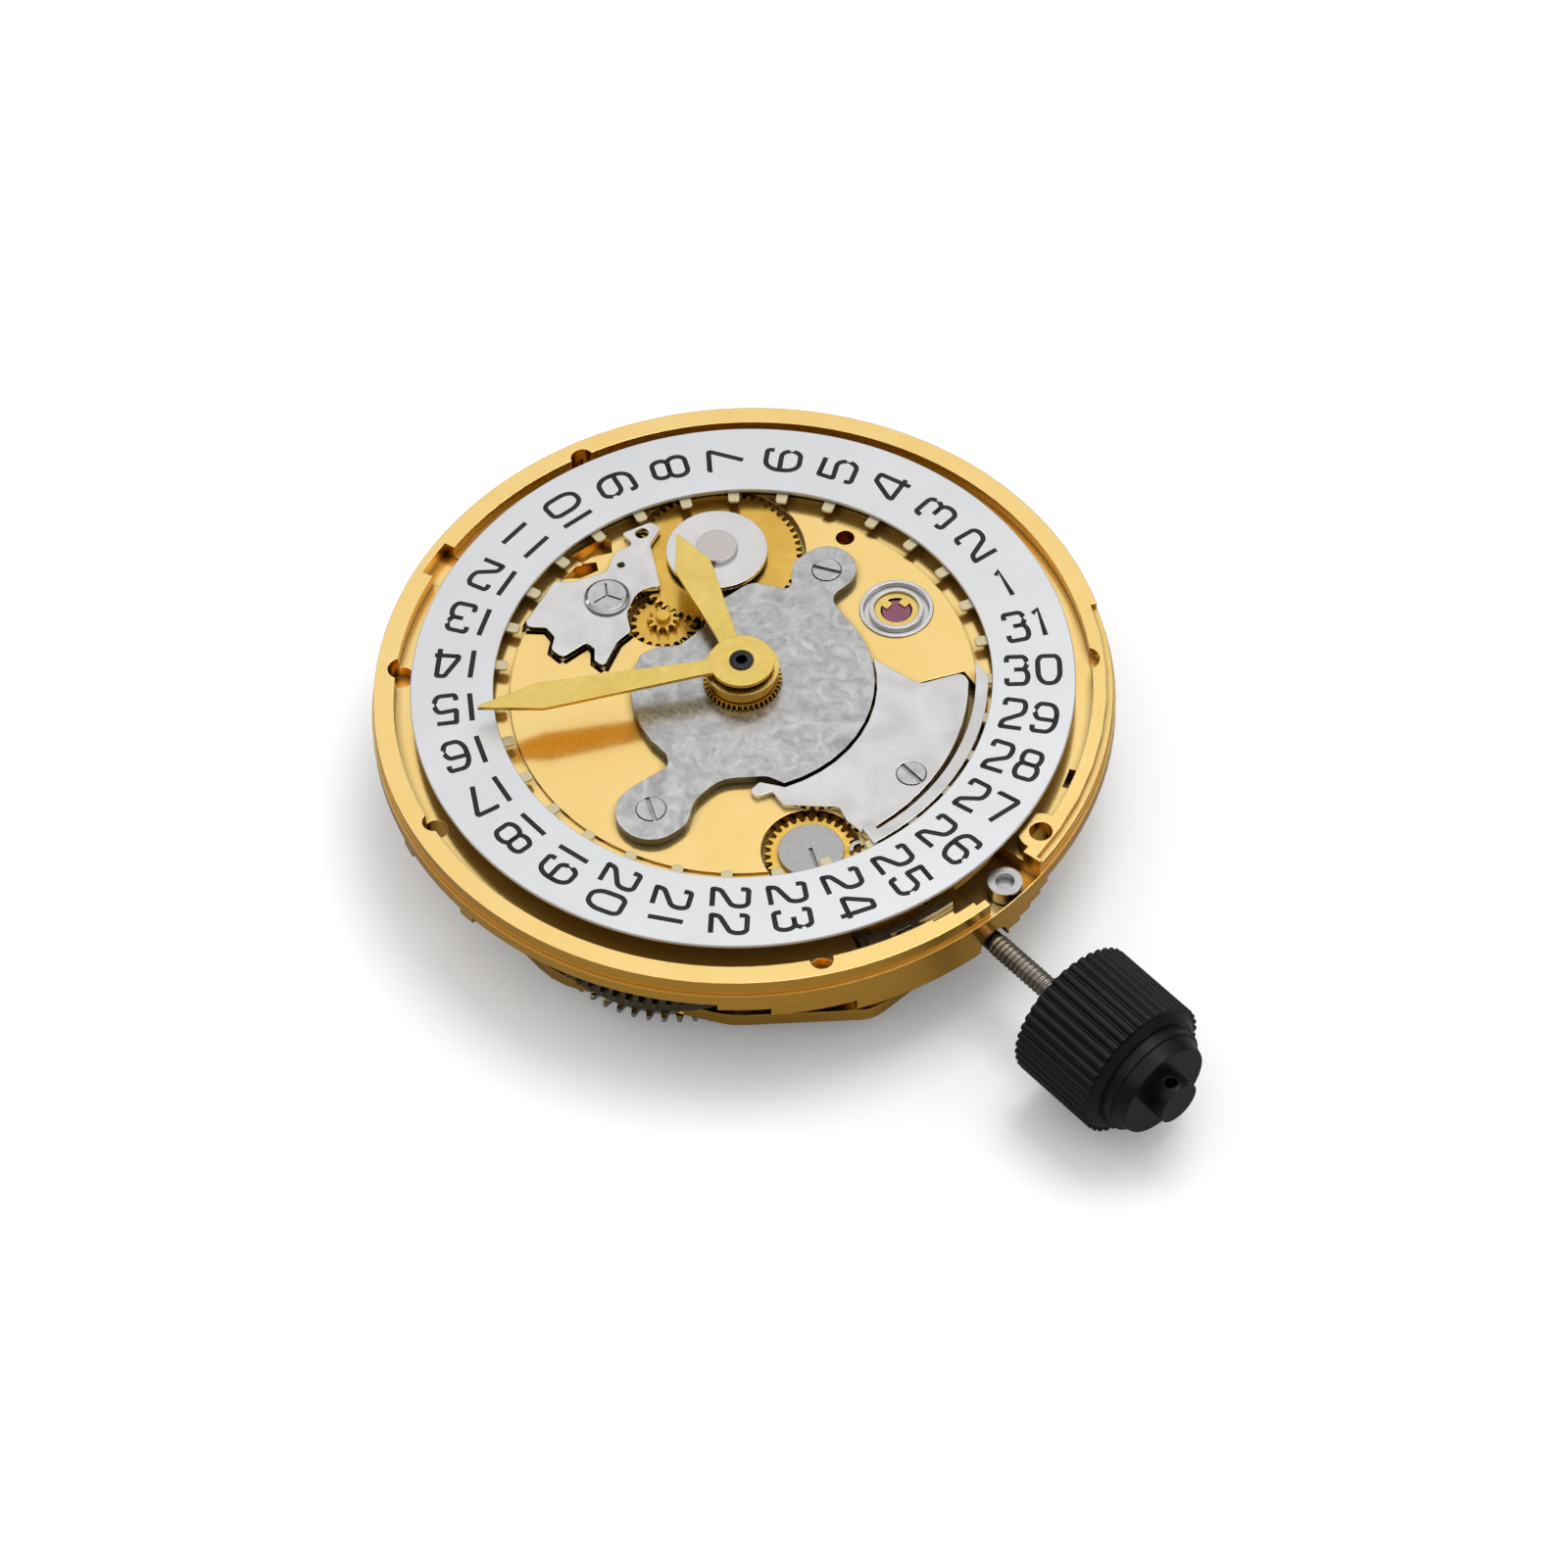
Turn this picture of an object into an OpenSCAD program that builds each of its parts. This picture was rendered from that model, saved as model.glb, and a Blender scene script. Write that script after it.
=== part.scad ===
// Automatic watch movement, dial side up: hands, calendar work, keyless work, going train,
// escapement and self-winding work, each piece a separate solid.
// The origin is on the centre axis at the dial seat. +X points along the winding stem,
// +Y to twelve o'clock and +Z out of the dial side.

/* [Mainplate] */
// Diameter of the flange that stops the movement in its case
flange_d = 26.0; // [25.9:0.1:26.6]
// Diameter of the rim that enters the case ring
rim_d = 25.8; // [25.6:0.05:25.85]
// Inner diameter of the rim, the wall of the date channel
channel_d = 24.4; // [24.2:0.1:24.6]
// Height of the rim above the flange
rim_h = 0.65; // [0.55:0.05:0.75]
// Distance from the dial seat to the underside of the plate
plate_t = 1.4; // [1.35:0.05:1.45]
// Depth of the dial-side surface below the dial seat
face_drop = 0.15; // [0.1:0.05:0.2]
// Depth of the open date channel below the dial seat
channel_drop = 0.5; // [0.45:0.05:0.55]

/* [Date ring] */
// Outer diameter of the date ring
ring_od = 23.2; // [23.0:0.1:23.6]
// Inner diameter of the printed band
ring_id = 17.4; // [17.3:0.05:17.5]
// Height of the printed face above the dial seat
ring_top = 0.35; // [0.3:0.05:0.4]
// Thickness of the printed band
ring_t = 0.2; // [0.15:0.01:0.22]
// Diameter over the tips of the inward teeth
tooth_tip_d = 16.7; // [16.6:0.05:16.9]
// Width of one tooth
tooth_w = 0.5; // [0.4:0.05:0.6]

/* [Calendar and motion work] */
// Distance from the centre axis to the intermediate date wheel
inter_x = -4.3; // [-4.35:0.05:-4.2]
// Date wheel position
date_x = -5.2; // [-5.25:0.05:-5.1]
// Date wheel position, towards twelve
date_y = 3.3; // [3.25:0.05:3.4]
// Polished disc on the date wheel
date_disc_d = 3.6; // [3.4:0.1:3.8]
// Direction of the minute wheel from the centre
minute_dir = 12; // [8:1:16]
// Thickness of the gears
gear_t = 0.18; // [0.14:0.01:0.2]
// Thickness of the centre cover plate
cover_t = 0.35; // [0.3:0.01:0.38]
// Thickness of the polished plates
plate2_t = 0.22; // [0.18:0.01:0.25]

/* [Hands] */
// Length of the minute hand from the axis to its tip
minute_len = 9.3; // [8.5:0.1:9.6]
// Length of the hour hand
hour_len = 6.5; // [5.8:0.1:6.8]
// Pointing direction of the minute hand
minute_at = -119.8; // [-180:0.1:180]
// Pointing direction of the hour hand
hour_at = 159.5; // [-180:0.1:180]
// Thickness of a hand
hand_t = 0.14; // [0.1:0.01:0.16]
// Height of the hour hand's upper face above the dial seat
hour_z = 1.0; // [0.95:0.05:1.05]
// Height of the minute hand's upper face above the dial seat
minute_z = 1.32; // [1.25:0.05:1.4]

/* [Winding stem] */
// Depth of the stem axis below the dial seat
stem_drop = 2.15; // [2.1:0.05:2.2]
// Diameter of the stem outside the movement
stem_d = 1.1; // [1.0:0.05:1.15]
// Diameter of the knob over its ribs
knob_d = 5.2; // [4.6:0.1:5.6]
// Number of ribs
knob_ribs = 40; // [30:1:48]
// Length of the ribbed part of the knob
knob_len = 3.7; // [3.2:0.1:4.2]
// Distance from the centre axis to the back of the knob
knob_x = 16.65; // [16.2:0.05:17.5]
// Travel of the stem when it is pulled out
pull_travel = 0.5; // [0.4:0.02:0.52]

/* [Going train] */
// Barrel centre, distance from the axis
barrel_dist = 6.95; // [6.9:0.05:7.0]
// Barrel centre direction
barrel_dir = -60.5; // [-62:0.5:-59]
// Third wheel position
third_x = -4.0; // [-4.05:0.05:-3.9]
// Third wheel position, towards twelve
third_y = 0.7; // [0.6:0.05:0.8]
// Fourth wheel position
fourth_x = -6.5; // [-6.6:0.05:-6.4]
// Fourth wheel position, towards twelve
fourth_y = 3.3; // [3.2:0.05:3.4]
// Escape wheel position
escape_x = -3.6; // [-3.65:0.05:-3.55]
// Escape wheel position, towards twelve
escape_y = 4.6; // [4.55:0.05:4.65]
// Balance position
balance_x = 1.0; // [0.95:0.05:1.05]
// Balance position, towards twelve
balance_y = 6.3; // [6.25:0.05:6.35]
// Balance wheel diameter
balance_d = 8.4; // [8.0:0.1:8.6]

/* [Self-winding work] */
// Diameter of the rotor
rotor_d = 24.6; // [24.0:0.1:24.8]
// Direction of the middle of the rotor's weight
rotor_at = 141; // [100:1:180]
// Depth of the rotor's flat back below the dial seat
back_drop = 5.34; // [5.3:0.02:5.44]
// Height of the rotor's heavy rim
weight_h = 0.85; // [0.6:0.05:0.9]

/* [Fits] */
// Radial gap of a pivot or a shaft in its hole
run_gap = 0.03; // [0.02:0.01:0.05]
// Gap between pieces that pass each other
pass_gap = 0.08; // [0.06:0.01:0.1]
// Radial gap of a screw in its hole
screw_gap = 0.02; // [0.01:0.01:0.04]

/* [Hidden] */
$fn = 72;

gold = [0.86, 0.66, 0.27];
pale_brass = [0.85, 0.76, 0.42];
steel = [0.72, 0.72, 0.73];
dark_steel = [0.42, 0.41, 0.4];
polished = [0.9, 0.9, 0.89];
ruby = [0.52, 0.16, 0.36];
black = [0.07, 0.07, 0.07];

flange_r = flange_d / 2;
rim_r = rim_d / 2;
channel_r = channel_d / 2;
face_z = -face_drop;
under_z = -plate_t;
over = 0.02;

// Levels of the motion work, cut into the dial side
date_gear_z = -0.42;
inter_gear_z = date_gear_z - 0.05 - gear_t;
minute_gear_z = inter_gear_z - 0.13 - gear_t;
work_floor = minute_gear_z - 0.06;

// Levels under the plate, all measured from the dial seat
centre_gear_z = -1.72;
fourth_gear_z = -1.97;
escape_gear_z = -2.35;
third_gear_z = -2.62;
barrel_top = -1.8;
barrel_rim_z = -2.2;
barrel_bottom = -2.98;
bridge_top = -3.3;
bridge_t = 0.55;
bridge_z = bridge_top - bridge_t;
winding_z = -4.12;
auto_gear_z = -4.36;
auto_top = -4.42;
auto_t = 0.42;
auto_z = auto_top - auto_t;
rotor_z = -back_drop;
rotor_t = 0.3;
balance_z = -3.22;
pallet_bridge_z = -2.86;

// Tooth counts
hour_n = 60;
inter_n = 20;
inter_pinion_n = 10;
date_n = 60;
cannon_n = 15;
minute_n = 30;
minute_pinion_n = 10;
setting_n = 12;
barrel_n = 76;
centre_pinion_n = 18;
centre_n = 80;
third_pinion_n = 10;
third_n = 75;
fourth_pinion_n = 10;
fourth_n = 84;
escape_pinion_n = 7;
escape_n = 15;
crown_n = 33;
ratchet_n = 57;
rotor_gear_n = 24;
reversing_n = 32;
reduction_n = 36;
date_count = 31;

// Places and pitch radii that follow from the centre distances
function dist(a, b) = norm(b - a);
function dir(a, b) = atan2(b[1] - a[1], b[0] - a[0]);
function polar(r, a) = [r * cos(a), r * sin(a)];
function module_of(d, n1, n2) = 2 * d / (n1 + n2);

centre = [0, 0];
inter_c = [inter_x, 0];
date_c = [date_x, date_y];
hour_m = module_of(dist(centre, inter_c), hour_n, inter_n);
hour_r = hour_m * hour_n / 2;
inter_r = hour_m * inter_n / 2;
date_m = module_of(dist(inter_c, date_c), inter_pinion_n, date_n);
minute_c = polar(hour_m * (hour_n + minute_pinion_n) / 2, minute_dir);
cannon_m = module_of(norm(minute_c), cannon_n, minute_n);
setting_c = minute_c + polar(cannon_m * (minute_n + setting_n) / 2, -minute_dir);
barrel_c = polar(barrel_dist, barrel_dir);
barrel_m = module_of(barrel_dist, barrel_n, centre_pinion_n);
third_c = [third_x, third_y];
third_m = module_of(dist(centre, third_c), centre_n, third_pinion_n);
fourth_c = [fourth_x, fourth_y];
fourth_m = module_of(dist(third_c, fourth_c), third_n, fourth_pinion_n);
escape_c = [escape_x, escape_y];
escape_m = module_of(dist(fourth_c, escape_c), fourth_n, escape_pinion_n);
balance_c = [balance_x, balance_y];
pallet_c = balance_c + 0.53 * (escape_c - balance_c);
crown_c = [7.95, 0];
winding_m = module_of(dist(crown_c, barrel_c), crown_n, ratchet_n);
reversing_c = polar(3.5, 205);
reversing_m = module_of(3.5, rotor_gear_n, reversing_n);
reduction_c = reversing_c + polar(reversing_m * (reversing_n + reduction_n) / 2, -79);
corrector_c = [6.95, -2.97];
setting_pivot = [12.24, 1.15];
stem_z = -stem_drop;
shock_r = 1.3;
minute_pipe_r = 0.42;
hour_pipe_r = 0.8;

// Rest angles that put a tooth of one gear into a gap of the next
function mesh_at(phi, at1, n1, n2) = phi + 180 - ((phi - at1) * n1 / 360 + 0.5) * 360 / n2;
cannon_at = 0;
minute_wheel_at = mesh_at(minute_dir, cannon_at, cannon_n, minute_n);
hour_wheel_at = mesh_at(minute_dir + 180, minute_wheel_at, minute_pinion_n, hour_n);
setting_at = mesh_at(dir(minute_c, setting_c), minute_wheel_at, minute_n, setting_n);
inter_at = mesh_at(dir(centre, inter_c), hour_wheel_at, hour_n, inter_n);
date_at = mesh_at(dir(inter_c, date_c), inter_at, inter_pinion_n, date_n);
barrel_at = mesh_at(barrel_dir, cannon_at, centre_pinion_n, barrel_n);
third_at = mesh_at(dir(centre, third_c), cannon_at, centre_n, third_pinion_n);
fourth_at = mesh_at(dir(third_c, fourth_c), third_at, third_n, fourth_pinion_n);
escape_at = mesh_at(dir(fourth_c, escape_c), fourth_at, fourth_n, escape_pinion_n);
ratchet_at = mesh_at(dir(crown_c, barrel_c), 0, crown_n, ratchet_n);
reversing_at = mesh_at(dir(centre, reversing_c), 0, rotor_gear_n, reversing_n);
reduction_at = mesh_at(dir(reversing_c, reduction_c), reversing_at, reversing_n, reduction_n);

// Outline helpers
function arc(c, r, a0, a1, n) = [for (i = [0:n]) c + polar(r, a0 + (a1 - a0) * i / n)];
function unit(v) = v / norm(v);
function wrap(a) = a - 360 * floor((a + 180) / 360);
// One rounded corner: the arc of radius r that touches both sides at p
function corner(before, p, after, r) =
    let (u = unit(before - p), v = unit(after - p), half = acos(u * v) / 2)
    let (c = p + unit(u + v) * r / sin(half), leg = r / tan(half))
    let (a = dir(c, p + u * leg), sweep = wrap(dir(c, p + v * leg) - a))
    arc(c, r, a, a + sweep, max(2, ceil(abs(sweep) / 15)));
// An outline from [x, y, corner radius] points
function soft(points) = [
    for (i = [0:len(points) - 1])
        let (n = len(points), p = points[i], a = points[(i + n - 1) % n], b = points[(i + 1) % n])
        each (p[2] > 0
            ? corner([a[0], a[1]], [p[0], p[1]], [b[0], b[1]], p[2])
            : [[p[0], p[1]]])
];
// A coiled strip of width w from radius r0 to r1
function coil(r0, r1, w, turns, per_turn) = let (n = turns * per_turn, g = (r1 - r0) / n, s = 360 / per_turn)
    concat(
        [for (i = [0:n]) polar(r0 + g * i + w / 2, i * s)],
        [for (i = [n:-1:0]) polar(r0 + g * i - w / 2, i * s)]
    );
function sharp(points) = [for (p = points) [p[0], p[1], 0]];

// Straight-flanked teeth: four points a tooth
module gear2d(n, m, at = 0, tip = 0.9, root = 1.1) {
    r = n * m / 2;
    step = 360 / n;
    polygon([for (i = [0:n - 1]) let (a = at + i * step)
        each [
            polar(r - root * m, a - step * 0.30),
            polar(r + tip * m, a - step * 0.11),
            polar(r + tip * m, a + step * 0.11),
            polar(r - root * m, a + step * 0.30)
        ]
    ]);
}

module place(c, z = 0) {
    translate([c[0], c[1], z]) children();
}

module disc(c, r, z, h) {
    place(c, z) cylinder(r = r, h = h);
}

module hole(c, r, z0, z1) {
    place(c, z0) cylinder(r = r, h = z1 - z0);
}

module gear(c, n, m, z, h, at = 0, bore = 0) {
    place(c, z) linear_extrude(height = h) difference() {
        gear2d(n, m, at);
        if (bore > 0) circle(r = bore);
    }
}

// Crossed-out wheel: rim, hub and spokes
module wheel(c, n, m, z, h, at, hub_r, spokes, bore = 0) {
    r = n * m / 2;
    inner = r - 2.6 * m - 0.12;
    place(c, z) linear_extrude(height = h) difference() {
        gear2d(n, m, at);
        if (bore > 0) circle(r = bore);
        for (i = [0:spokes - 1]) polygon(window(inner, hub_r, 360 / spokes, 0.42, i * 360 / spokes));
    }
}

// One window between two spokes of width w
function window(r1, r0, pitch, w, at) = concat(
    arc([0, 0], r1, at + asin(w / 2 / r1), at + pitch - asin(w / 2 / r1), 8),
    arc([0, 0], r0, at + pitch - asin(w / 2 / r0), at + asin(w / 2 / r0), 4)
);

module sector(r0, r1, a0, a1, z0, z1) {
    translate([0, 0, z0]) linear_extrude(height = z1 - z0)
        polygon(concat(arc([0, 0], r1, a0, a1, 8), arc([0, 0], r0, a1, a0, 8)));
}

// Cheese-head screw with a slot, head up or head down
module slotted_screw(c, head_r, head_h, shank_r, shank_h, seat_z, slot_at, up = true) {
    place(c, seat_z) mirror([0, 0, up ? 0 : 1]) {
        difference() {
            cylinder(r = head_r, h = head_h);
            rotate([0, 0, slot_at]) translate([-head_r - 1, -head_r * 0.15, head_h * 0.5])
                cube([2 * head_r + 2, head_r * 0.3, head_h]);
        }
        translate([0, 0, -shank_h]) cylinder(r = shank_r, h = shank_h + 0.001);
    }
}

// Screw places, shared by the screws and their holes
cover_screws = [[-1.8, 5.5], [2.15, -6.03]];
calendar_screw = [6.95, 1.65];
date_cover_screw = [-6.15, -1.0];
screw_head_r = 0.5;
screw_head_h = 0.16;
screw_shank_r = 0.28;
screw_shank_h = 0.75;
cap_head_r = 0.8;

/* Outlines of the dial-side plates, in real millimetres */
cover_r = 4.72;
cover_outline = soft(concat(
    [[-2.85, 6.58, 1.0], [-0.8, 6.58, 1.0], [-0.8, 4.75, 0.5]],
    sharp(arc([0, -0.15], cover_r, 88, -22, 14)),
    [[3.75, -2.15, 0.6], [2.75, -3.4, 1.2], [2.85, -4.7, 1.2], [3.45, -5.5, 0.8], [3.45, -7.3, 1.2],
     [0.95, -7.3, 1.2], [1.0, -5.6, 0.5], [1.15, -4.35, 0.4]],
    sharp(arc([0.25, -0.15], 3.95, -84, -154, 6)),
    [[-3.2, -1.25, 0.4], [-2.7, -0.6, 0.5], [-2.75, 0.6, 0.6], [-3.3, 1.3, 0.6], [-3.2, 3.2, 0.7],
     [-1.95, 3.95, 0.25], [-2.87, 4.85, 0.4]]
));
calendar_outline = soft(concat(
    sharp(arc([0, -0.15], cover_r + pass_gap, 62, -22, 10)),
    [[3.7, -2.45, 0.1], [3.75, -2.95, 0.15], [4.1, -2.95, 0.15], [4.3, -2.4, 0.1], [5.0, -2.5, 0.2],
     [6.35, -1.15, 0.2], [7.0, -1.35, 0.1]],
    sharp(arc([0, 0], 7.87, -9.5, 48, 12)),
    [[4.85, 6.0, 0.3], [4.2, 4.5, 0.5]]
));
date_cover_outline = soft([
    [-7.8, 2.48, 0.3], [-7.35, 2.5, 0.1], [-7.05, 1.75, 0.4], [-5.3, 0.75, 0.12], [-5.75, 0.1, 0.8],
    [-5.15, -0.95, 0.5], [-4.45, -1.35, 0.2], [-4.4, -2.0, 0.5], [-3.85, -3.1, 0.15],
    [-4.3, -3.15, 0.15], [-4.7, -2.8, 0.2], [-5.1, -2.85, 0.15], [-5.15, -3.9, 0.25],
    [-5.7, -3.95, 0.2], [-6.05, -3.5, 0.2], [-6.6, -3.45, 0.2], [-7.1, -3.95, 0.2],
    [-7.3, -3.75, 0.1], [-8.0, -1.9, 0.1], [-7.5, -1.35, 0.3], [-7.1, -0.2, 0.3],
    [-7.6, 0.6, 0.3], [-7.4, 1.35, 0.2], [-8.1, 1.3, 0.1]
]);

module mainplate() color(gold) difference() {
    union() {
        rotate_extrude($fn = 180) polygon([
            [0, under_z], [flange_r, under_z], [flange_r, -rim_h], [rim_r, -rim_h], [rim_r, 0],
            [channel_r, 0], [channel_r, -channel_drop], [ring_id / 2 + 1.1, -channel_drop],
            [ring_id / 2 + 1.1, ring_track_z], [8.15, ring_track_z], [8.15, face_z], [0, face_z]
        ]);
        // Thicker wall round the winding stem
        sector(wall_r, flange_r - skin, -24, 3, stem_wall_z, under_z + over);
        sector(wall_r, flange_r - skin, -37, -24, -1.78, under_z + over);
        for (i = [0:2])
            sector(wall_r + 0.15, flange_r - skin, 3 + i * 2.4, 5.4 + i * 2.4, -2.05 + i * 0.2, under_z + over);
        // Raised boss with a dial-foot hole beside the stem
        intersection() {
            disc(foot_right, 0.78, -channel_drop - over, channel_drop + over);
            cylinder(r = rim_r - 0.02, h = 9, center = true);
        }
        // Inner bearing of the stem
        translate([5.6, -0.55, -2.8]) cube([0.75, 1.45, 2.8 + under_z + over]);
        // Post of the setting wheel
        disc(setting_c, 0.25, work_floor - over, 0.4);
    }
    motion_work_cuts();
    rim_cuts();
    keyless_cuts();
    // Shock setting, balance staff and train pivots
    hole(balance_c, shock_r, face_z - 0.6, 1);
    hole(balance_c, 0.5, under_z - 1, 0);
    for (p = [third_c, fourth_c, escape_c, pallet_c]) hole(p, pivot_r + run_gap, under_z - 1, under_z + 0.35);
    hole([-2.7, 7.17], 0.33, under_z - 1, 1);
    for (p = cover_screws) hole(p, screw_shank_r + screw_gap, under_z - 1, 1);
    hole(calendar_screw, screw_shank_r + screw_gap, under_z - 1, 1);
    hole(date_cover_screw, screw_shank_r + screw_gap, under_z - 1, 1);
    for (p = pillar_places) hole(p, 0.3 + screw_gap, under_z - 1, under_z + 0.55);
}

ring_track_z = -0.25;
wall_r = 12.65;
skin = 0.015;
stem_wall_z = -2.25;
pivot_r = 0.1;
foot_right = polar(12.2, 15.5);
foot_left = polar(12.15, 167.5);
foot_hole_r = 0.4;

module motion_work_cuts() {
    // Recess of the hour wheel, the minute wheel and the setting wheel
    hole(centre, hour_r + hour_m + 0.12, inter_gear_z - 0.06, 1);
    hole(minute_c, cannon_m * minute_n / 2 + cannon_m + 0.12, work_floor, 1);
    difference() {
        hole(setting_c, cannon_m * setting_n / 2 + cannon_m + 0.1, work_floor, 1);
        disc(setting_c, 0.25, work_floor - 1, 1.4);
    }
    hole(centre, cannon_m * cannon_n / 2 + cannon_m + 0.12, work_floor, 1);
    hole(centre, 0.5, under_z - 1, 1);
    hole(minute_c, 0.2 + run_gap, under_z + 0.1, 1);
    // Pockets of the intermediate wheel and the date wheel
    hole(inter_c, inter_r + hour_m + 0.15, inter_gear_z - 0.06, 1);
    hole(inter_c, 0.2 + run_gap, under_z + 0.15, 1);
    hole(date_c, date_m * date_n / 2 + date_m + 0.14, date_gear_z - 0.04, 1);
    hole(date_c, 0.3 + run_gap, under_z + 0.15, 1);
    // Pocket of the corrector wheel
    hole(corrector_c, 1.72, -0.6, 1);
    hole(corrector_c, 0.3 + run_gap, under_z + 0.15, 1);
    // Blind bearing of the barrel arbor, from the back
    hole(barrel_c, 0.35 + run_gap, under_z - 1, under_z + 0.22);
}

module rim_cuts() {
    // Dial-foot holes and notches round the rim
    hole(foot_left, foot_hole_r, under_z - 1, 1);
    hole(foot_right, foot_hole_r, under_z - 1, 1);
    hole(polar(12.05, -102.5), 0.42, under_z - 1, 1);
    hole(polar(12.05, -136), 0.45, -1.0, 1);
    hole(polar(12.25, -28.5), 0.4, -1.0, 1);
    hole(polar(12.0, 53), 0.5, -0.45, 1);
    sector(11.8, 12.6, -163.5, -156.5, -0.6, 1);
    sector(11.85, 12.15, 27, 31, -1, 1);
    // Lower outer ledge from the stem round to one o'clock
    sector(12.68, 14, 11, 64, -0.2, 1);
    // The rim is open where the setting lever's axle stands
    sector(11, 12.95, -0.5, 10.5, -1.05, 1);
    sector(10.6, channel_r - 0.03, -22, 10.5, -0.95, 1);
    // Stepped inner edge beside the opening
    for (i = [0:2]) sector(12.1 - i * 0.03, channel_r + 0.1 + i * 0.16, -9.4 + i * 3.6, -0.3, -0.9, 1);
}

module keyless_cuts() {
    // Stem tunnel and the room for the two pinions
    translate([4, 0, stem_z]) rotate([0, 90, 0]) cylinder(r = stem_pilot_r + run_gap, h = 7);
    translate([10.9, 0, stem_z]) rotate([0, 90, 0]) cylinder(r = stem_d / 2 + stem_gap, h = 4);
    translate([6.35, -1.0, -3.3]) cube([3.3, 2.0, 3.3 - 1.22]);
    translate([9.6, -1.3, -3.3]) cube([1.3, 2.6, 3.3 - 0.9]);
    // Bores of the setting lever and the yoke
    hole(setting_pivot, 0.5 + run_gap, under_z - 1, 1);
    hole(yoke_c, 0.25 + run_gap, under_z - 1, -1.12);
}

yoke_c = [8.0, 3.0];
stem_pilot_r = 0.36;
stem_gap = 0.07;

module date_ring() color([0.86, 0.87, 0.88]) {
    band_z = ring_top - ring_t;
    difference() {
        union() {
            place(centre, band_z) cylinder(r = ring_od / 2, h = ring_t, $fn = 180);
            place(centre, ring_track_z + 0.05) cylinder(r = 9.55, h = band_z - ring_track_z - 0.05);
        }
        place(centre, -1) cylinder(r = ring_id / 2, h = 3, $fn = 180);
    }
    for (i = [0:date_count - 1]) rotate([0, 0, 1.8 + i * 360 / date_count])
        translate([tooth_tip_d / 2, -tooth_w / 2, ring_track_z + 0.1])
            cube([ring_id / 2 - tooth_tip_d / 2 + 0.1, tooth_w, 0.14]);
}

module centre_cover_plate() color(steel) difference() {
    place(centre, face_z) linear_extrude(height = cover_t) polygon(cover_outline);
    hole(centre, hour_pipe_r + 0.45, -2, 2);
    for (p = cover_screws) {
        hole(p, screw_shank_r + screw_gap, -2, 2);
        hole(p, screw_head_r + 0.03, face_z + cover_t - screw_head_h + 0.03, 2);
    }
}

module centre_cover_screws() color(polished) {
    slotted_screw(cover_screws[0], screw_head_r, screw_head_h, screw_shank_r, screw_shank_h,
        face_z + cover_t - screw_head_h + 0.03, 30);
    slotted_screw(cover_screws[1], screw_head_r, screw_head_h, screw_shank_r, screw_shank_h,
        face_z + cover_t - screw_head_h + 0.03, -25);
}

module calendar_plate() color(polished) {
    difference() {
        place(centre, face_z) linear_extrude(height = plate2_t) polygon(calendar_outline);
        hole(calendar_screw, screw_shank_r + screw_gap, -2, 2);
        hole(calendar_screw, screw_head_r + 0.03, face_z + plate2_t - screw_head_h + 0.03, 2);
    }
    // Long jumper arm over the ring's teeth, on a foot at its lower end
    place(centre, arm_z) linear_extrude(height = plate2_t) polygon(concat(
        arc([0, 0], 8.56, -6.5, 48.5, 14), arc([0, 0], 8.13, 53.5, -6.5, 14)));
    place(centre, face_z) linear_extrude(height = arm_z + plate2_t - face_z) polygon(concat(
        arc([0, 0], 8.12, -9.5, -6.5, 2), arc([0, 0], 7.8, -6.5, -9.5, 2)));
    place(centre, arm_z) linear_extrude(height = plate2_t) polygon(concat(
        arc([0, 0], 8.56, -9.5, -6.45, 2), arc([0, 0], 8.05, -6.45, -9.5, 2)));
}

arm_z = 0.06;

module calendar_plate_screw() color(polished)
    slotted_screw(calendar_screw, screw_head_r, screw_head_h, screw_shank_r, screw_shank_h,
        face_z + plate2_t - screw_head_h + 0.03, 0);

module date_wheel_cover() color(polished) difference() {
    place(centre, face_z) linear_extrude(height = plate2_t) polygon(date_cover_outline);
    hole([-7.62, 1.86], 0.24, -2, 2);
    hole([-7.0, 0.36], 0.14, -2, 2);
    hole(date_cover_screw, screw_shank_r + screw_gap, -2, 2);
}

// Cap screw with a domed head and three short slots
module date_wheel_cover_screw() color(polished) {
    seat = face_z + plate2_t;
    place(date_cover_screw, seat) difference() {
        union() {
            cylinder(r = cap_head_r, h = 0.1);
            translate([0, 0, 0.09]) cylinder(r1 = cap_head_r, r2 = cap_head_r - 0.12, h = 0.09);
        }
        for (i = [0:2]) rotate([0, 0, 25 + 120 * i]) translate([0, -0.035, 0.12]) cube([0.55, 0.07, 1]);
    }
    disc(date_cover_screw, screw_shank_r, seat - screw_shank_h, screw_shank_h + 0.001);
}

module date_wheel() color(gold) {
    difference() {
        union() {
            gear(date_c, date_n, date_m, date_gear_z, gear_t, date_at);
            disc(date_c, 0.3, under_z + 0.2, date_gear_z - under_z);
            disc(date_c, 0.75, date_gear_z, -0.02 - date_gear_z);
        }
        hole(date_c, 0.15, under_z, 0.5);
    }
}

// Polished disc with the day finger under it, pressed on the date wheel
module date_wheel_disc() color(polished) {
    disc(date_c, date_disc_d / 2, -0.02, 0.16);
    disc(date_c, 0.72, 0.139, 0.2);
    place(date_c, -0.16) linear_extrude(height = 0.14) rotate([0, 0, -60]) difference() {
        polygon([[0, 0.3], [0, -0.3], [2.1, -0.12], [2.1, 0.12]]);
        circle(r = 0.75);
    }
    disc(date_c, 0.15 - 0.001, under_z + 0.25, -under_z - 0.26);
}

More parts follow.
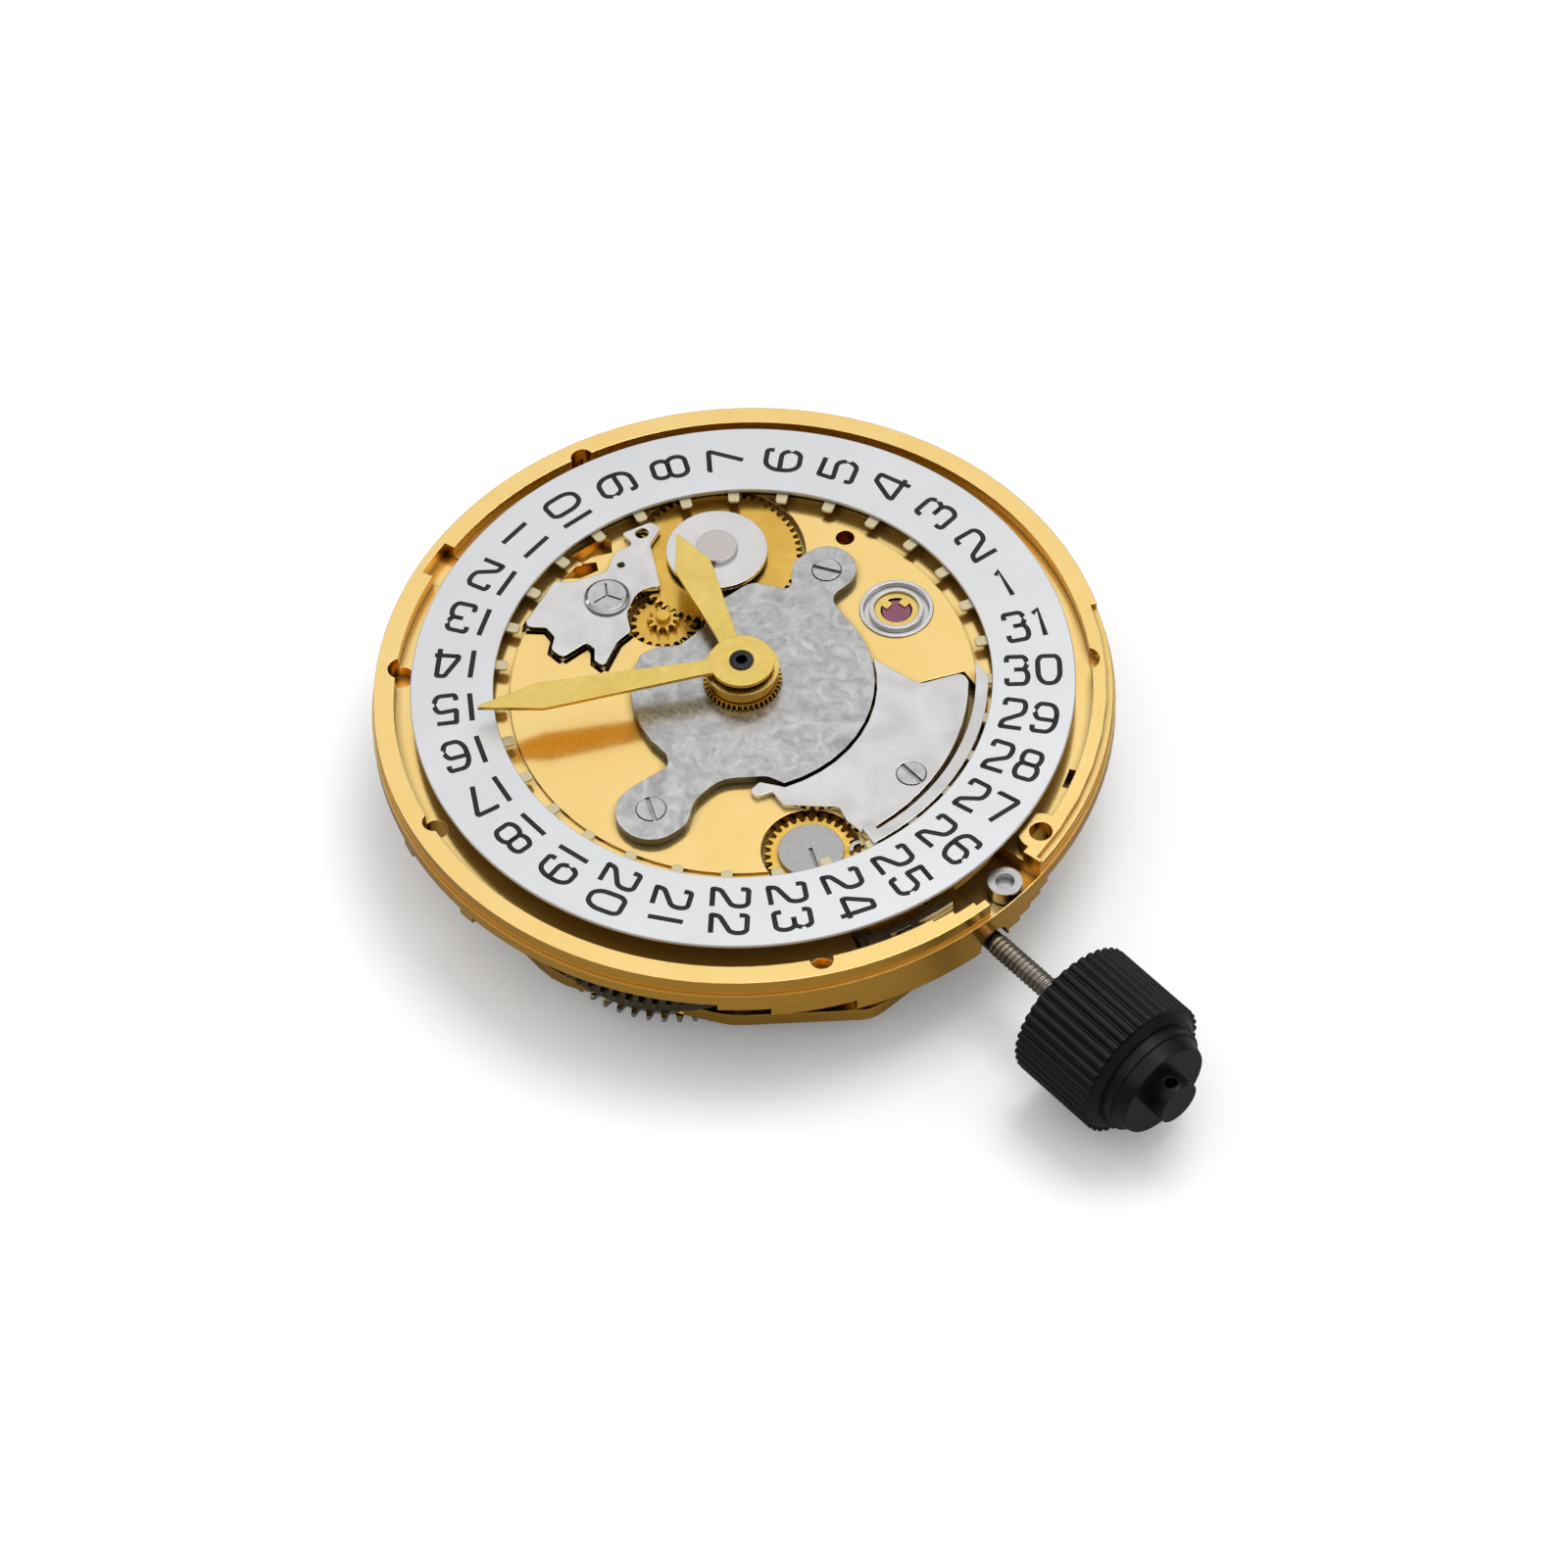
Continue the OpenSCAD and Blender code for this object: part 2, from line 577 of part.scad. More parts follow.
module intermediate_date_wheel() color(gold) {
    gear(inter_c, inter_n, hour_m, inter_gear_z, gear_t, inter_at);
    gear(inter_c, inter_pinion_n, date_m, inter_gear_z + gear_t - 0.001, 0.26, inter_at);
    disc(inter_c, 0.2, under_z + 0.2, inter_gear_z - under_z - 0.19);
    disc(inter_c, 0.24, inter_gear_z + gear_t + 0.25, 0.22);
}

module hour_wheel() color(gold) difference() {
    union() {
        gear(centre, hour_n, hour_m, inter_gear_z, gear_t, hour_wheel_at);
        disc(centre, hour_pipe_r, inter_gear_z, hour_z - inter_gear_z);
        gear(centre, 44, 0.06, face_z + cover_t + 0.04, 0.16);
    }
    hole(centre, minute_pipe_r + 0.1 + run_gap, -2, 2);
}

module cannon_pinion() color(dark_steel) difference() {
    union() {
        gear(centre, cannon_n, cannon_m, minute_gear_z, gear_t, cannon_at);
        disc(centre, minute_pipe_r + 0.1, minute_gear_z, hour_z + 0.06 - minute_gear_z);
        disc(centre, minute_pipe_r, hour_z, minute_z + 0.06 - hour_z);
    }
    hole(centre, arbor_r, -2, 0.8);
    hole(centre, 0.2, 0, 2);
}

arbor_r = 0.28;

module minute_wheel() color(gold) {
    gear(minute_c, minute_n, cannon_m, minute_gear_z, gear_t, minute_wheel_at);
    gear(minute_c, minute_pinion_n, hour_m, minute_gear_z + gear_t - 0.001, 0.34, minute_wheel_at);
    disc(minute_c, 0.2, under_z + 0.15, minute_gear_z - under_z - 0.14);
    disc(minute_c, 0.16, minute_gear_z + gear_t + 0.33, 0.1);
}

module setting_wheel() color(gold) difference() {
    union() {
        gear(setting_c, setting_n, cannon_m, minute_gear_z, gear_t, setting_at);
        disc(setting_c, 0.5, minute_gear_z + gear_t - 0.001, 0.15);
    }
    hole(setting_c, 0.25 + run_gap, -2, 1);
}

// A flat leaf: neck at the hub, widest at two thirds, a point at the tip
module hand(len, hub_r, neck_w, max_w, z, at, bore) {
    place(centre, z - hand_t) linear_extrude(height = hand_t) rotate([0, 0, at]) difference() {
        union() {
            circle(r = hub_r);
            polygon(soft([
                [0, neck_w * 0.42, 0], [hub_r + 0.4, neck_w * 0.42, 0.8], [len * 0.76, max_w / 2, 0.9],
                [len, 0.04, 0], [len, -0.04, 0], [len * 0.76, -max_w / 2, 0.9],
                [hub_r + 0.4, -neck_w * 0.42, 0.8], [0, -neck_w * 0.42, 0]
            ]));
        }
        circle(r = bore);
    }
}

module hour_hand() color(pale_brass) {
    hand(hour_len, 1.3, 0.85, 1.35, hour_z, hour_at, hour_pipe_r);
    difference() {
        disc(centre, 1.2, face_z + cover_t + 0.24, hour_z - hand_t - face_z - cover_t - 0.239);
        hole(centre, hour_pipe_r, -1, 2);
    }
}

module minute_hand() color(pale_brass) {
    hand(minute_len, 1.13, 0.75, 1.15, minute_z, minute_at, minute_pipe_r);
    difference() {
        disc(centre, 0.75, hour_z + 0.06, minute_z - hand_t - hour_z - 0.059);
        hole(centre, minute_pipe_r, -1, 2);
    }
}

module shock_block() color(polished) place(balance_c) difference() {
    union() {
        translate([0, 0, face_z - 0.6]) cylinder(r = shock_r, h = 0.66);
    }
    translate([0, 0, -2]) cylinder(r = 0.2, h = 4);
    translate([0, 0, face_z - 0.35]) cylinder(r = 0.8, h = 2);
    translate([0, 0, face_z - 0.18]) rotate_extrude() translate([0.95, 0]) square([0.22, 1]);
}

// Lyre spring: a ring with two tongues over the jewel
module shock_spring() color([0.93, 0.85, 0.55]) place(balance_c, face_z - 0.1)
    linear_extrude(height = 0.06) {
        difference() {
            circle(r = 0.8);
            circle(r = 0.56);
        }
        for (a = [100, 190]) rotate([0, 0, a]) translate([0.3, -0.16]) square([0.4, 0.32]);
    }

module shock_jewel() color(ruby) place(balance_c, face_z - 0.35)
    cylinder(r1 = 0.56, r2 = 0.5, h = 0.24);

module corrector_wheel() color(gold) {
    gear(corrector_c, 30, 0.1, -0.5, 0.14);
    disc(corrector_c, 0.3, under_z + 0.2, -0.49 - under_z - 0.2);
    difference() {
        disc(corrector_c, 1.12, -0.361, 0.18);
        place(corrector_c, -0.26) rotate([0, 0, -25]) translate([-0.1, -0.06, 0]) cube([0.95, 0.12, 1]);
    }
}

// Curled steel blade beside the corrector wheel
module corrector_spring() color(steel)
    place([8.0, -1.7], -0.34) linear_extrude(height = 0.16) polygon(concat(
        arc([0, 0], 0.34, 250, 20, 10), arc([0, 0], 0.2, 20, 250, 8)));

// Lever with its steel eyelet axle, seen through the opening in the rim
module setting_lever() color(steel) {
    difference() {
        union() {
            disc(setting_pivot, 0.6, -1.0, 0.55);
            disc(setting_pivot, 0.5, under_z - 0.03, 0.6);
        }
        hole(setting_pivot, 0.33, -0.75, 1);
    }
    place(centre, under_z - 0.27) linear_extrude(height = 0.25) polygon(soft([
        [12.6, 1.6, 0.3], [11.7, 1.75, 0.2], [11.72, 0.3, 0.2], [12.2, 0.3, 0.2], [12.62, 0.85, 0.2]
    ]));
    disc(lever_pin, 0.1, stem_z - 0.15, under_z - 0.26 - stem_z + 0.15);
}

// The lever's pin stands in the groove of the stem
lever_arm = 0.65;
lever_pin = setting_pivot - [pull_travel / 2, lever_arm];
groove_x = lever_pin[0] - 0.14;

// Flat spring with two fingers, in the trough beside the stem
module lever_spring() color(polished) {
    sector(11.25, 11.95, -21, -15.5, -0.951, -0.75);
    sector(11.3, 11.55, -15.6, -3, -0.951, -0.75);
    sector(11.7, 12.1, -14, -9.5, -0.951, -0.62);
    sector(11.5, 11.8, -11.5, -10, -0.951, -0.75);
    disc(polar(11.6, -18.3), 0.3, -0.76, 0.14);
}

module yoke() color(steel) {
    disc(yoke_c, 0.25, under_z - 0.3, -1.15 - under_z + 0.3);
    place(centre, under_z - 0.5) linear_extrude(height = 0.3) polygon(soft([
        [7.5, 3.5, 0.4], [8.6, 3.5, 0.4], [8.6, 2.4, 0.4], [8.35, 1.4, 0.2], [8.25, 0.65, 0],
        [8.05, 0.65, 0], [7.95, 1.4, 0.2], [7.5, 2.4, 0.4]
    ]));
}

module along_x(x) {
    translate([x, 0, stem_z]) rotate([0, 90, 0]) children();
}

module stem() color(dark_steel) {
    along_x(5.3) cylinder(r = stem_pilot_r, h = 1.1);
    // Square that drives the sliding pinion
    translate([6.39, -square_w / 2, stem_z - square_w / 2]) cube([3.2, square_w, square_w]);
    along_x(9.58) cylinder(r = 0.44, h = groove_x - 9.57);
    // Groove for the setting lever's pin
    along_x(groove_x) cylinder(r = 0.25, h = 0.29);
    along_x(groove_x + 0.28) cylinder(r = stem_d / 2, h = knob_x - groove_x + 1.22);
}

square_w = 0.5;

module knob() color(black) {
    core_r = knob_d / 2 - 0.12;
    rib_r = 0.17;
    difference() {
        union() {
            along_x(knob_x + 0.2) cylinder(r = core_r, h = knob_len - 0.4);
            along_x(knob_x) cylinder(r1 = core_r - 0.25, r2 = core_r, h = 0.201);
            along_x(knob_x + knob_len - 0.201) cylinder(r1 = core_r, r2 = core_r - 0.3, h = 0.3);
            along_x(knob_x + knob_len) cylinder(r = core_r - 0.45, h = 0.5);
            along_x(knob_x + knob_len + 0.45) cylinder(r1 = 1.95, r2 = 1.75, h = 0.55);
            along_x(knob_x + knob_len + 0.95) cylinder(r = 0.8, h = 0.75);
            along_x(knob_x + 0.15) linear_extrude(height = knob_len - 0.3)
                for (i = [0:knob_ribs - 1]) rotate([0, 0, i * 360 / knob_ribs])
                    translate([core_r - 0.05, 0]) circle(r = rib_r, $fn = 16);
        }
        along_x(knob_x - 1) cylinder(r = stem_d / 2, h = 2.5);
        translate([knob_x + knob_len + 1.3, 0, stem_z]) cylinder(r = 0.22, h = 4, center = true);
    }
}

module winding_pinion() color(steel) difference() {
    along_x(9.75) linear_extrude(height = 1.0) gear2d(winding_n, face_m, 0);
    along_x(9) cylinder(r = 0.44 + run_gap, h = 3);
}

module sliding_pinion() color(steel) difference() {
    union() {
        along_x(8.35) cylinder(r = 0.85, h = 0.5);
        along_x(7.95) cylinder(r = 0.55, h = 0.5);
        along_x(7.45) linear_extrude(height = 0.51) gear2d(12, 0.125);
    }
    translate([6, -square_w / 2 - run_gap, stem_z - square_w / 2 - run_gap])
        cube([4, square_w + 2 * run_gap, square_w + 2 * run_gap]);
}

winding_n = 16;
face_n = 35;
face_r = 2.3;
face_m = 2 * face_r / face_n;
face_top = stem_z - face_m * winding_n / 2 + 0.08;

// Gear with face teeth under the bridge, driven by the winding pinion
module winding_face_gear() color(steel) {
    difference() {
        union() {
            disc(crown_c, face_r + 0.25, bridge_top - 0.22, 0.16);
            disc(crown_c, 0.6, winding_z, bridge_top - 0.2 - winding_z);
        }
        hole(crown_c, 0.3, winding_z - 1, winding_z + 0.6);
    }
    for (i = [0:face_n - 1]) place(crown_c, bridge_top - 0.07) rotate([0, 0, i * 360 / face_n + face_at])
        translate([face_r - 0.2, -0.07, 0]) cube([0.4, 0.14, face_top - bridge_top + 0.07]);
}

// The pinion's lowest tooth stands between two face teeth
face_at = 360 / face_n / 2;

drum_r = barrel_m * barrel_n / 2 - barrel_m * 2.2;

module barrel() color(gold) difference() {
    union() {
        disc(barrel_c, drum_r, barrel_bottom, barrel_top - barrel_bottom - 0.18);
        gear(barrel_c, barrel_n, barrel_m, barrel_rim_z, barrel_top - 0.18 - barrel_rim_z, barrel_at);
    }
    hole(barrel_c, drum_r - 0.25, barrel_bottom + 0.2, 1);
    hole(barrel_c, 0.7 + run_gap, -9, 1);
}

module barrel_cover() color(gold) difference() {
    disc(barrel_c, drum_r, barrel_top - 0.18, 0.18);
    hole(barrel_c, 0.7 + run_gap, -9, 1);
}

module barrel_arbor() color(steel) {
    disc(barrel_c, 0.7, winding_z - 0.1, barrel_top - winding_z + 0.14);
    disc(barrel_c, 0.35, barrel_top, -barrel_top + under_z + 0.2);
    disc(barrel_c, 1.3, barrel_bottom + 0.24, barrel_top - barrel_bottom - 0.46);
}

// Coiled strip between the arbor and the drum wall
module mainspring() color(steel) {
    turns = 7;
    r0 = 1.55;
    r1 = drum_r - 0.36;
    strip = 0.2;
    place(barrel_c, barrel_bottom + 0.26) linear_extrude(height = barrel_top - barrel_bottom - 0.52)
        polygon(coil(r0, r1, strip, turns, 20));
}

module centre_wheel() color(gold) difference() {
    union() {
        wheel(centre, centre_n, third_m, centre_gear_z, 0.15, cannon_at, 0.9, 4);
        gear(centre, centre_pinion_n, barrel_m, barrel_rim_z - 0.05, centre_gear_z - barrel_rim_z + 0.051,
            cannon_at);
        disc(centre, 0.5 - run_gap, centre_gear_z, minute_gear_z - centre_gear_z);
        disc(centre, arbor_r, minute_gear_z - 0.01, 0.79 - minute_gear_z);
        disc(centre, 0.25, bridge_top - 0.3, barrel_rim_z - bridge_top + 0.3);
    }
    hole(centre, 0.12, -9, 1);
}

module arbor(c, r, z0, z1) {
    disc(c, r, z0, z1 - z0);
    disc(c, pivot_r, z1 - 0.001, under_z + 0.3 - z1);
    disc(c, pivot_r, bridge_top - 0.3, z0 - bridge_top + 0.301);
}

module third_wheel() color(gold) {
    wheel(third_c, third_n, fourth_m, third_gear_z, 0.15, third_at, 0.7, 4);
    gear(third_c, third_pinion_n, third_m, centre_gear_z - 0.06, 0.27, third_at);
    arbor(third_c, 0.25, third_gear_z - 0.15, centre_gear_z - 0.059);
}

module fourth_wheel() color(gold) {
    wheel(fourth_c, fourth_n, escape_m, fourth_gear_z, 0.15, fourth_at, 0.6, 4);
    gear(fourth_c, fourth_pinion_n, fourth_m, third_gear_z - 0.05, 0.25, fourth_at);
    arbor(fourth_c, 0.22, third_gear_z - 0.1, fourth_gear_z + 0.3);
}

escape_r = 1.95;

// Club-toothed wheel: each tooth leans forward
module escape_wheel() color(steel) {
    step = 360 / escape_n;
    place(escape_c, escape_gear_z) linear_extrude(height = 0.13) difference() {
        polygon([for (i = [0:escape_n - 1]) let (a = i * step)
            each [polar(1.5, a), polar(escape_r, a + 9), polar(escape_r - 0.08, a + 12.5), polar(1.5, a + 8)]]);
        for (i = [0:3]) polygon(window(1.28, 0.4, 90, 0.22, i * 90));
    }
    gear(escape_c, escape_pinion_n, escape_m, fourth_gear_z - 0.05, 0.25, escape_at);
    arbor(escape_c, 0.12, escape_gear_z - 0.1, fourth_gear_z - 0.04);
}

// Lever with two arms that hold the stones and a forked end at the roller
module pallet_fork() color(steel) place(pallet_c, escape_gear_z) rotate([0, 0, dir(pallet_c, balance_c)]) {
    reach = dist(pallet_c, balance_c) - 0.52;
    linear_extrude(height = 0.13) difference() {
        union() {
            circle(r = 0.3);
            polygon([[0, 0.12], [0, -0.12], [reach, -0.09], [reach, 0.09]]);
            translate([reach - 0.15, 0]) circle(r = 0.26);
            for (s = [-1, 1]) polygon([[0.1, 0], [-0.25, s * 1.1], [-0.45, s * 1.05], [-0.12, 0]]);
        }
        translate([reach, 0]) square([0.34, 0.16], center = true);
        translate([reach + 0.2, 0]) square([0.4, 1], center = true);
    }
    translate([0, 0, 0.129]) cylinder(r = pivot_r, h = under_z + 0.3 - escape_gear_z - 0.13);
    translate([0, 0, -0.5]) cylinder(r = pivot_r, h = 0.501);
}

module pallet_bridge() color(gold) difference() {
    union() {
        place(centre, pallet_bridge_z) linear_extrude(height = 0.3) polygon(soft([
            [0.7, 4.15, 0.3], [0.8, 4.9, 0.3], [-1.0, 6.0, 0.5], [-2.3, 7.6, 0.4], [-3.25, 7.4, 0.4],
            [-3.0, 6.6, 0.3], [-1.95, 5.1, 0.5], [-0.1, 4.1, 0.3]
        ]));
        for (p = pallet_feet) disc(p, 0.42, pallet_bridge_z + 0.299, under_z - pallet_bridge_z - 0.3);
    }
    hole(pallet_c, pivot_r + run_gap, -9, 1);
    for (p = pallet_feet) hole(p, 0.2 + screw_gap, -9, 1);
    for (p = pallet_feet) hole(p, 0.38 + screw_gap, -9, pallet_bridge_z + screw_sink);
}

// Depth that the pallet bridge's screw heads are let in, clear of the balance rim
screw_sink = 0.1;

pallet_feet = [[0.35, 4.5], [-2.75, 7.1]];

module balance_wheel() color(gold) place(balance_c) {
    r1 = balance_d / 2;
    r0 = r1 - 0.5;
    translate([0, 0, balance_z]) linear_extrude(height = 0.28) difference() {
        circle(r = r1);
        for (i = [0:2]) polygon(window(r0, 0.6, 120, 0.36, i * 120));
    }
    // Staff with the roller and its impulse pin, turned out of the fork
    translate([0, 0, balance_z + 0.279]) cylinder(r = 0.25, h = escape_gear_z + 0.3 - balance_z - 0.28);
    translate([0, 0, escape_gear_z + 0.18]) cylinder(r = 0.62, h = 0.15);
    rotate([0, 0, dir(balance_c, pallet_c) + 70]) translate([0.5, 0, escape_gear_z])
        cylinder(r = 0.06, h = 0.181, $fn = 24);
    translate([0, 0, escape_gear_z + 0.329]) cylinder(r = 0.12, h = face_z - 0.4 - escape_gear_z - 0.34);
    translate([0, 0, balance_z - 0.48]) cylinder(r = 0.12, h = 0.481);
}

// Flat spiral, turned with the balance
module hairspring() color(steel) {
    turns = 9;
    strip = 0.05;
    r0 = 0.35;
    r1 = 2.4;
    place(balance_c, balance_z - 0.16) linear_extrude(height = 0.1)
        polygon(coil(r0, r1, strip, turns, 16));
    place(balance_c, balance_z - 0.16) linear_extrude(height = 0.16 - 0.001) difference() {
        circle(r = 0.36);
        circle(r = 0.121);
    }
}

cock_foot = polar(9.9, 45);
train_screws = [[-10.2, 0.2], [-7.0, -4.6]];
barrel_screws = [polar(10.9, -20), [-2.4, -9.9], [10.2, 3.9]];
auto_screws = [polar(9.0, 118), polar(9.0, -126)];
pillar_places = concat([cock_foot], train_screws, barrel_screws);
pillar_r = 0.85;

module pillar(c) {
    disc(c, pillar_r, bridge_top - over, under_z - bridge_top + over);
}

module balance_cock() color(gold) difference() {
    union() {
        place(centre, bridge_z) linear_extrude(height = 0.3) polygon(soft([
            [cock_foot[0] + 1.0, cock_foot[1] - 1.2, 0.8], [cock_foot[0] + 1.2, cock_foot[1] + 1.0, 0.8],
            [balance_x + 0.6, balance_y + 1.5, 0.9], [balance_x - 1.3, balance_y + 0.9, 0.9],
            [balance_x - 0.9, balance_y - 1.3, 0.9]
        ]));
        disc(cock_foot, 1.0, bridge_z + 0.299, under_z - bridge_z - 0.3);
    }
    hole(balance_c, 0.6, -9, 1);
    hole(cock_foot, 0.3 + screw_gap, -9, 1);
}

module barrel_bridge() color(gold) difference() {
    union() {
        place(centre, bridge_z) linear_extrude(height = bridge_t) polygon(soft([
            [1.2, 1.2, 0.6], [5.4, 1.6, 1.0], [9.3, 5.2, 1.0], [11.3, 4.2, 0.8], [11.6, 0, 0.8],
            [11.7, -4.4, 1.2], [8.6, -8.2, 2.5], [3.2, -11.5, 3.0], [-3.5, -11.3, 0.9],
            [-3.2, -8.8, 0.7], [-0.9, -6.0, 1.2], [-1.0, -1.0, 0.6]
        ]));
        for (p = barrel_screws) pillar(p);
    }
    hole(barrel_c, 0.7 + run_gap, -9, 1);
    hole(centre, 0.25 + run_gap, -9, 1);
    for (p = barrel_screws) hole(p, 0.3 + screw_gap, -9, 1);
    for (p = barrel_screws) hole(p, 0.6 + screw_gap, -9, bridge_z + 0.2);
    // Recesses for the face gear and the winding pinion, bore of the crown wheel
    hole(crown_c, face_r + 0.35, bridge_top - 0.27, 1);
    translate([9.6, -1.3, bridge_top - 0.1]) cube([1.3, 2.6, 1]);
    hole(crown_c, 0.6 + run_gap, -9, 1);
    hole(click_c, 0.25 + run_gap, -9, bridge_z + 0.3);
}

module train_bridge() color(gold) difference() {
    union() {
        place(centre, bridge_z) linear_extrude(height = bridge_t) polygon(soft([
            [-2.7, 5.4, 0.5], [-6.6, 5.5, 1.2], [-10.8, 1.9, 1.0], [-11.4, -0.6, 0.9],
            [-8.2, -5.6, 1.0], [-6.0, -5.5, 0.9], [-4.5, -1.2, 1.2], [-2.8, 0.2, 1.0], [-2.7, 3.8, 0.5]
        ]));
        for (p = train_screws) pillar(p);
    }
    for (p = [third_c, fourth_c, escape_c]) hole(p, jewel_r, -9, 1);
    for (p = train_screws) hole(p, 0.3 + screw_gap, -9, 1);
    for (p = train_screws) hole(p, 0.6 + screw_gap, -9, bridge_z + 0.2);
}

// Bridge screws, heads down in their counterbores
module bridge_screws() color(polished) {
    for (p = concat(train_screws, barrel_screws))
        slotted_screw(p, 0.58, 0.19, 0.3, under_z + 0.5 - bridge_z - 0.2, bridge_z + 0.2, 35, false);
    slotted_screw(cock_foot, 0.58, 0.19, 0.3, under_z + 0.5 - bridge_z, bridge_z, 80, false);
    for (p = pallet_feet)
        slotted_screw(p, 0.38, 0.12, 0.2, 1.2, pallet_bridge_z + screw_sink, 10, false);
    for (p = auto_screws)
        slotted_screw(p, 0.58, 0.12, 0.3, 0.9, auto_z, 60, false);
}

// Ratchet wheel on the square of the barrel arbor
module ratchet_wheel() color(steel)
    gear(barrel_c, ratchet_n, winding_m, winding_z, 0.2, ratchet_at, 0.7);

// Crown wheel between the winding face gear and the ratchet wheel
module crown_wheel() color(steel)
    gear(crown_c, crown_n, winding_m, winding_z, 0.2, 0, 0.6);

module crown_wheel_screw() color(polished)
    slotted_screw(crown_c, 0.95, 0.12, 0.3, 0.55, winding_z, 15, false);

click_at = 128;
click_c = barrel_c + polar(5.9, click_at);

// Pawl beside the ratchet wheel
module click() color(steel) {
    disc(click_c, 0.25, winding_z, bridge_z + 0.28 - winding_z);
    place(click_c, winding_z) linear_extrude(height = 0.2) rotate([0, 0, click_at + 180])
        polygon(soft([
            [-0.45, -0.5, 0.3], [0.4, -0.5, 0.3], [0.92, 0.35, 0.03], [0.3, 0.9, 0.2], [-0.45, 0.5, 0.3]
        ]));
}

module automatic_bridge() color(gold) difference() {
    union() {
        place(centre, auto_z) linear_extrude(height = auto_t) polygon(soft([
            [-5.0, 7.6, 0.3], [-3.5, 8.4, 0.3], [2.4, 2.0, 2.0], [2.4, -2.0, 1.6],
            [-0.8, -6.3, 1.4], [-4.9, -8.1, 0.3], [-6.0, -6.8, 0.3], [-5.2, 0, 2.0]
        ]));
        for (p = auto_screws) disc(p, 0.95, auto_z, auto_t);
        for (p = auto_screws) disc(p, pillar_r, auto_top - over, under_z - auto_top + over);
    }
    hole(centre, bearing_r, -9, 1);
    hole(reversing_c, 0.2 + run_gap, -9, 1);
    hole(reduction_c, 0.2 + run_gap, -9, 1);
    for (p = auto_screws) hole(p, 0.3 + screw_gap, -9, 1);
}

bearing_r = 1.6;
ball_track_r = 1.125;
ball_r = 0.17;
rotor_hub_r = 0.6;

module rotor_gear() color(steel) difference() {
    union() {
        gear(centre, rotor_gear_n, reversing_m, auto_gear_z, 0.2, 0);
        disc(centre, rotor_hub_r, rotor_z + 0.14, auto_gear_z - rotor_z - 0.13);
    }
    hole(centre, 0.3, -9, auto_gear_z - 0.1);
}

module reversing_wheel() color(steel) {
    gear(reversing_c, reversing_n, reversing_m, auto_gear_z, 0.2, reversing_at);
    disc(reversing_c, 0.9, auto_gear_z + 0.199, 0.15);
    disc(reversing_c, 0.2, auto_z + 0.05, auto_gear_z - auto_z - 0.049);
}

module reduction_wheel() color(gold) {
    gear(reduction_c, reduction_n, reversing_m, auto_gear_z, 0.2, reduction_at);
    gear(reduction_c, 10, 0.1, auto_gear_z + 0.199, 0.25);
    disc(reduction_c, 0.2, auto_z + 0.05, auto_gear_z - auto_z - 0.049);
}

module rotor() color(polished) difference() {
    union() {
        place(centre, rotor_z) linear_extrude(height = rotor_t) rotate([0, 0, rotor_at]) difference() {
            polygon(concat(arc([0, 0], rotor_d / 2, -88, 88, 36), [[0.4, 3.0], [-1.6, 1.6], [-2.2, 0],
                [-1.6, -1.6], [0.4, -3.0]]));
            for (s = [-1, 0, 1]) polygon(arc_slot(4.2, 8.9, s * 54 - 20, s * 54 + 20));
        }
        place(centre, rotor_z + rotor_t - 0.001) linear_extrude(height = weight_h - rotor_t)
            rotate([0, 0, rotor_at])
                polygon(concat(arc([0, 0], rotor_d / 2, -88, 88, 36), arc([0, 0], 10.1, 86, -86, 36)));
    }
    hole(centre, rotor_hub_r, -9, 1);
    hole(centre, 0.95, -9, rotor_z + 0.14);
}

function arc_slot(r0, r1, a0, a1) = concat(arc([0, 0], r1, a0, a1, 10), arc([0, 0], r0, a1, a0, 6));

// Outer race and balls, pressed into the bridge
module rotor_bearing() color(steel) {
    difference() {
        disc(centre, bearing_r, auto_z, auto_t);
        hole(centre, ball_track_r + ball_r + 0.005, -9, 1);
    }
    for (i = [0:6]) rotate([0, 0, i * 360 / 7]) translate([ball_track_r, 0, auto_z + auto_t / 2])
        sphere(r = ball_r, $fn = 24);
}

module rotor_bearing_inner() color(steel) difference() {
    disc(centre, ball_track_r - ball_r - 0.005, rotor_z + rotor_t, auto_top - rotor_z - rotor_t);
    hole(centre, rotor_hub_r, -9, 1);
}

module rotor_screw() color(polished)
    slotted_screw(centre, 0.93, 0.13, 0.3, 0.7, rotor_z + 0.14, 20, false);

// Bearing jewels pressed into the train bridge and the balance cock
module jewels() color(ruby) {
    for (p = [third_c, fourth_c, escape_c]) difference() {
        disc(p, jewel_r, bridge_z + 0.1, bridge_t - 0.15);
        hole(p, pivot_r + run_gap, -9, 1);
    }
    difference() {
        disc(balance_c, 0.6, bridge_z + 0.01, 0.27);
        hole(balance_c, 0.12 + run_gap, bridge_z + 0.12, 1);
    }
}

jewel_r = 0.4;

mainplate();
date_ring();
centre_cover_plate();
centre_cover_screws();
calendar_plate();
calendar_plate_screw();
date_wheel_cover();
date_wheel_cover_screw();
date_wheel();
date_wheel_disc();
intermediate_date_wheel();
hour_wheel();
cannon_pinion();
minute_wheel();
setting_wheel();
hour_hand();
minute_hand();
shock_block();
shock_spring();
shock_jewel();
corrector_wheel();
corrector_spring();
setting_lever();
lever_spring();
yoke();
stem();
knob();
winding_pinion();
sliding_pinion();
winding_face_gear();
barrel();
barrel_cover();
barrel_arbor();
mainspring();
centre_wheel();
third_wheel();
fourth_wheel();
escape_wheel();
pallet_fork();
pallet_bridge();
balance_wheel();
hairspring();
balance_cock();
barrel_bridge();
train_bridge();
bridge_screws();
ratchet_wheel();
crown_wheel();
crown_wheel_screw();
click();
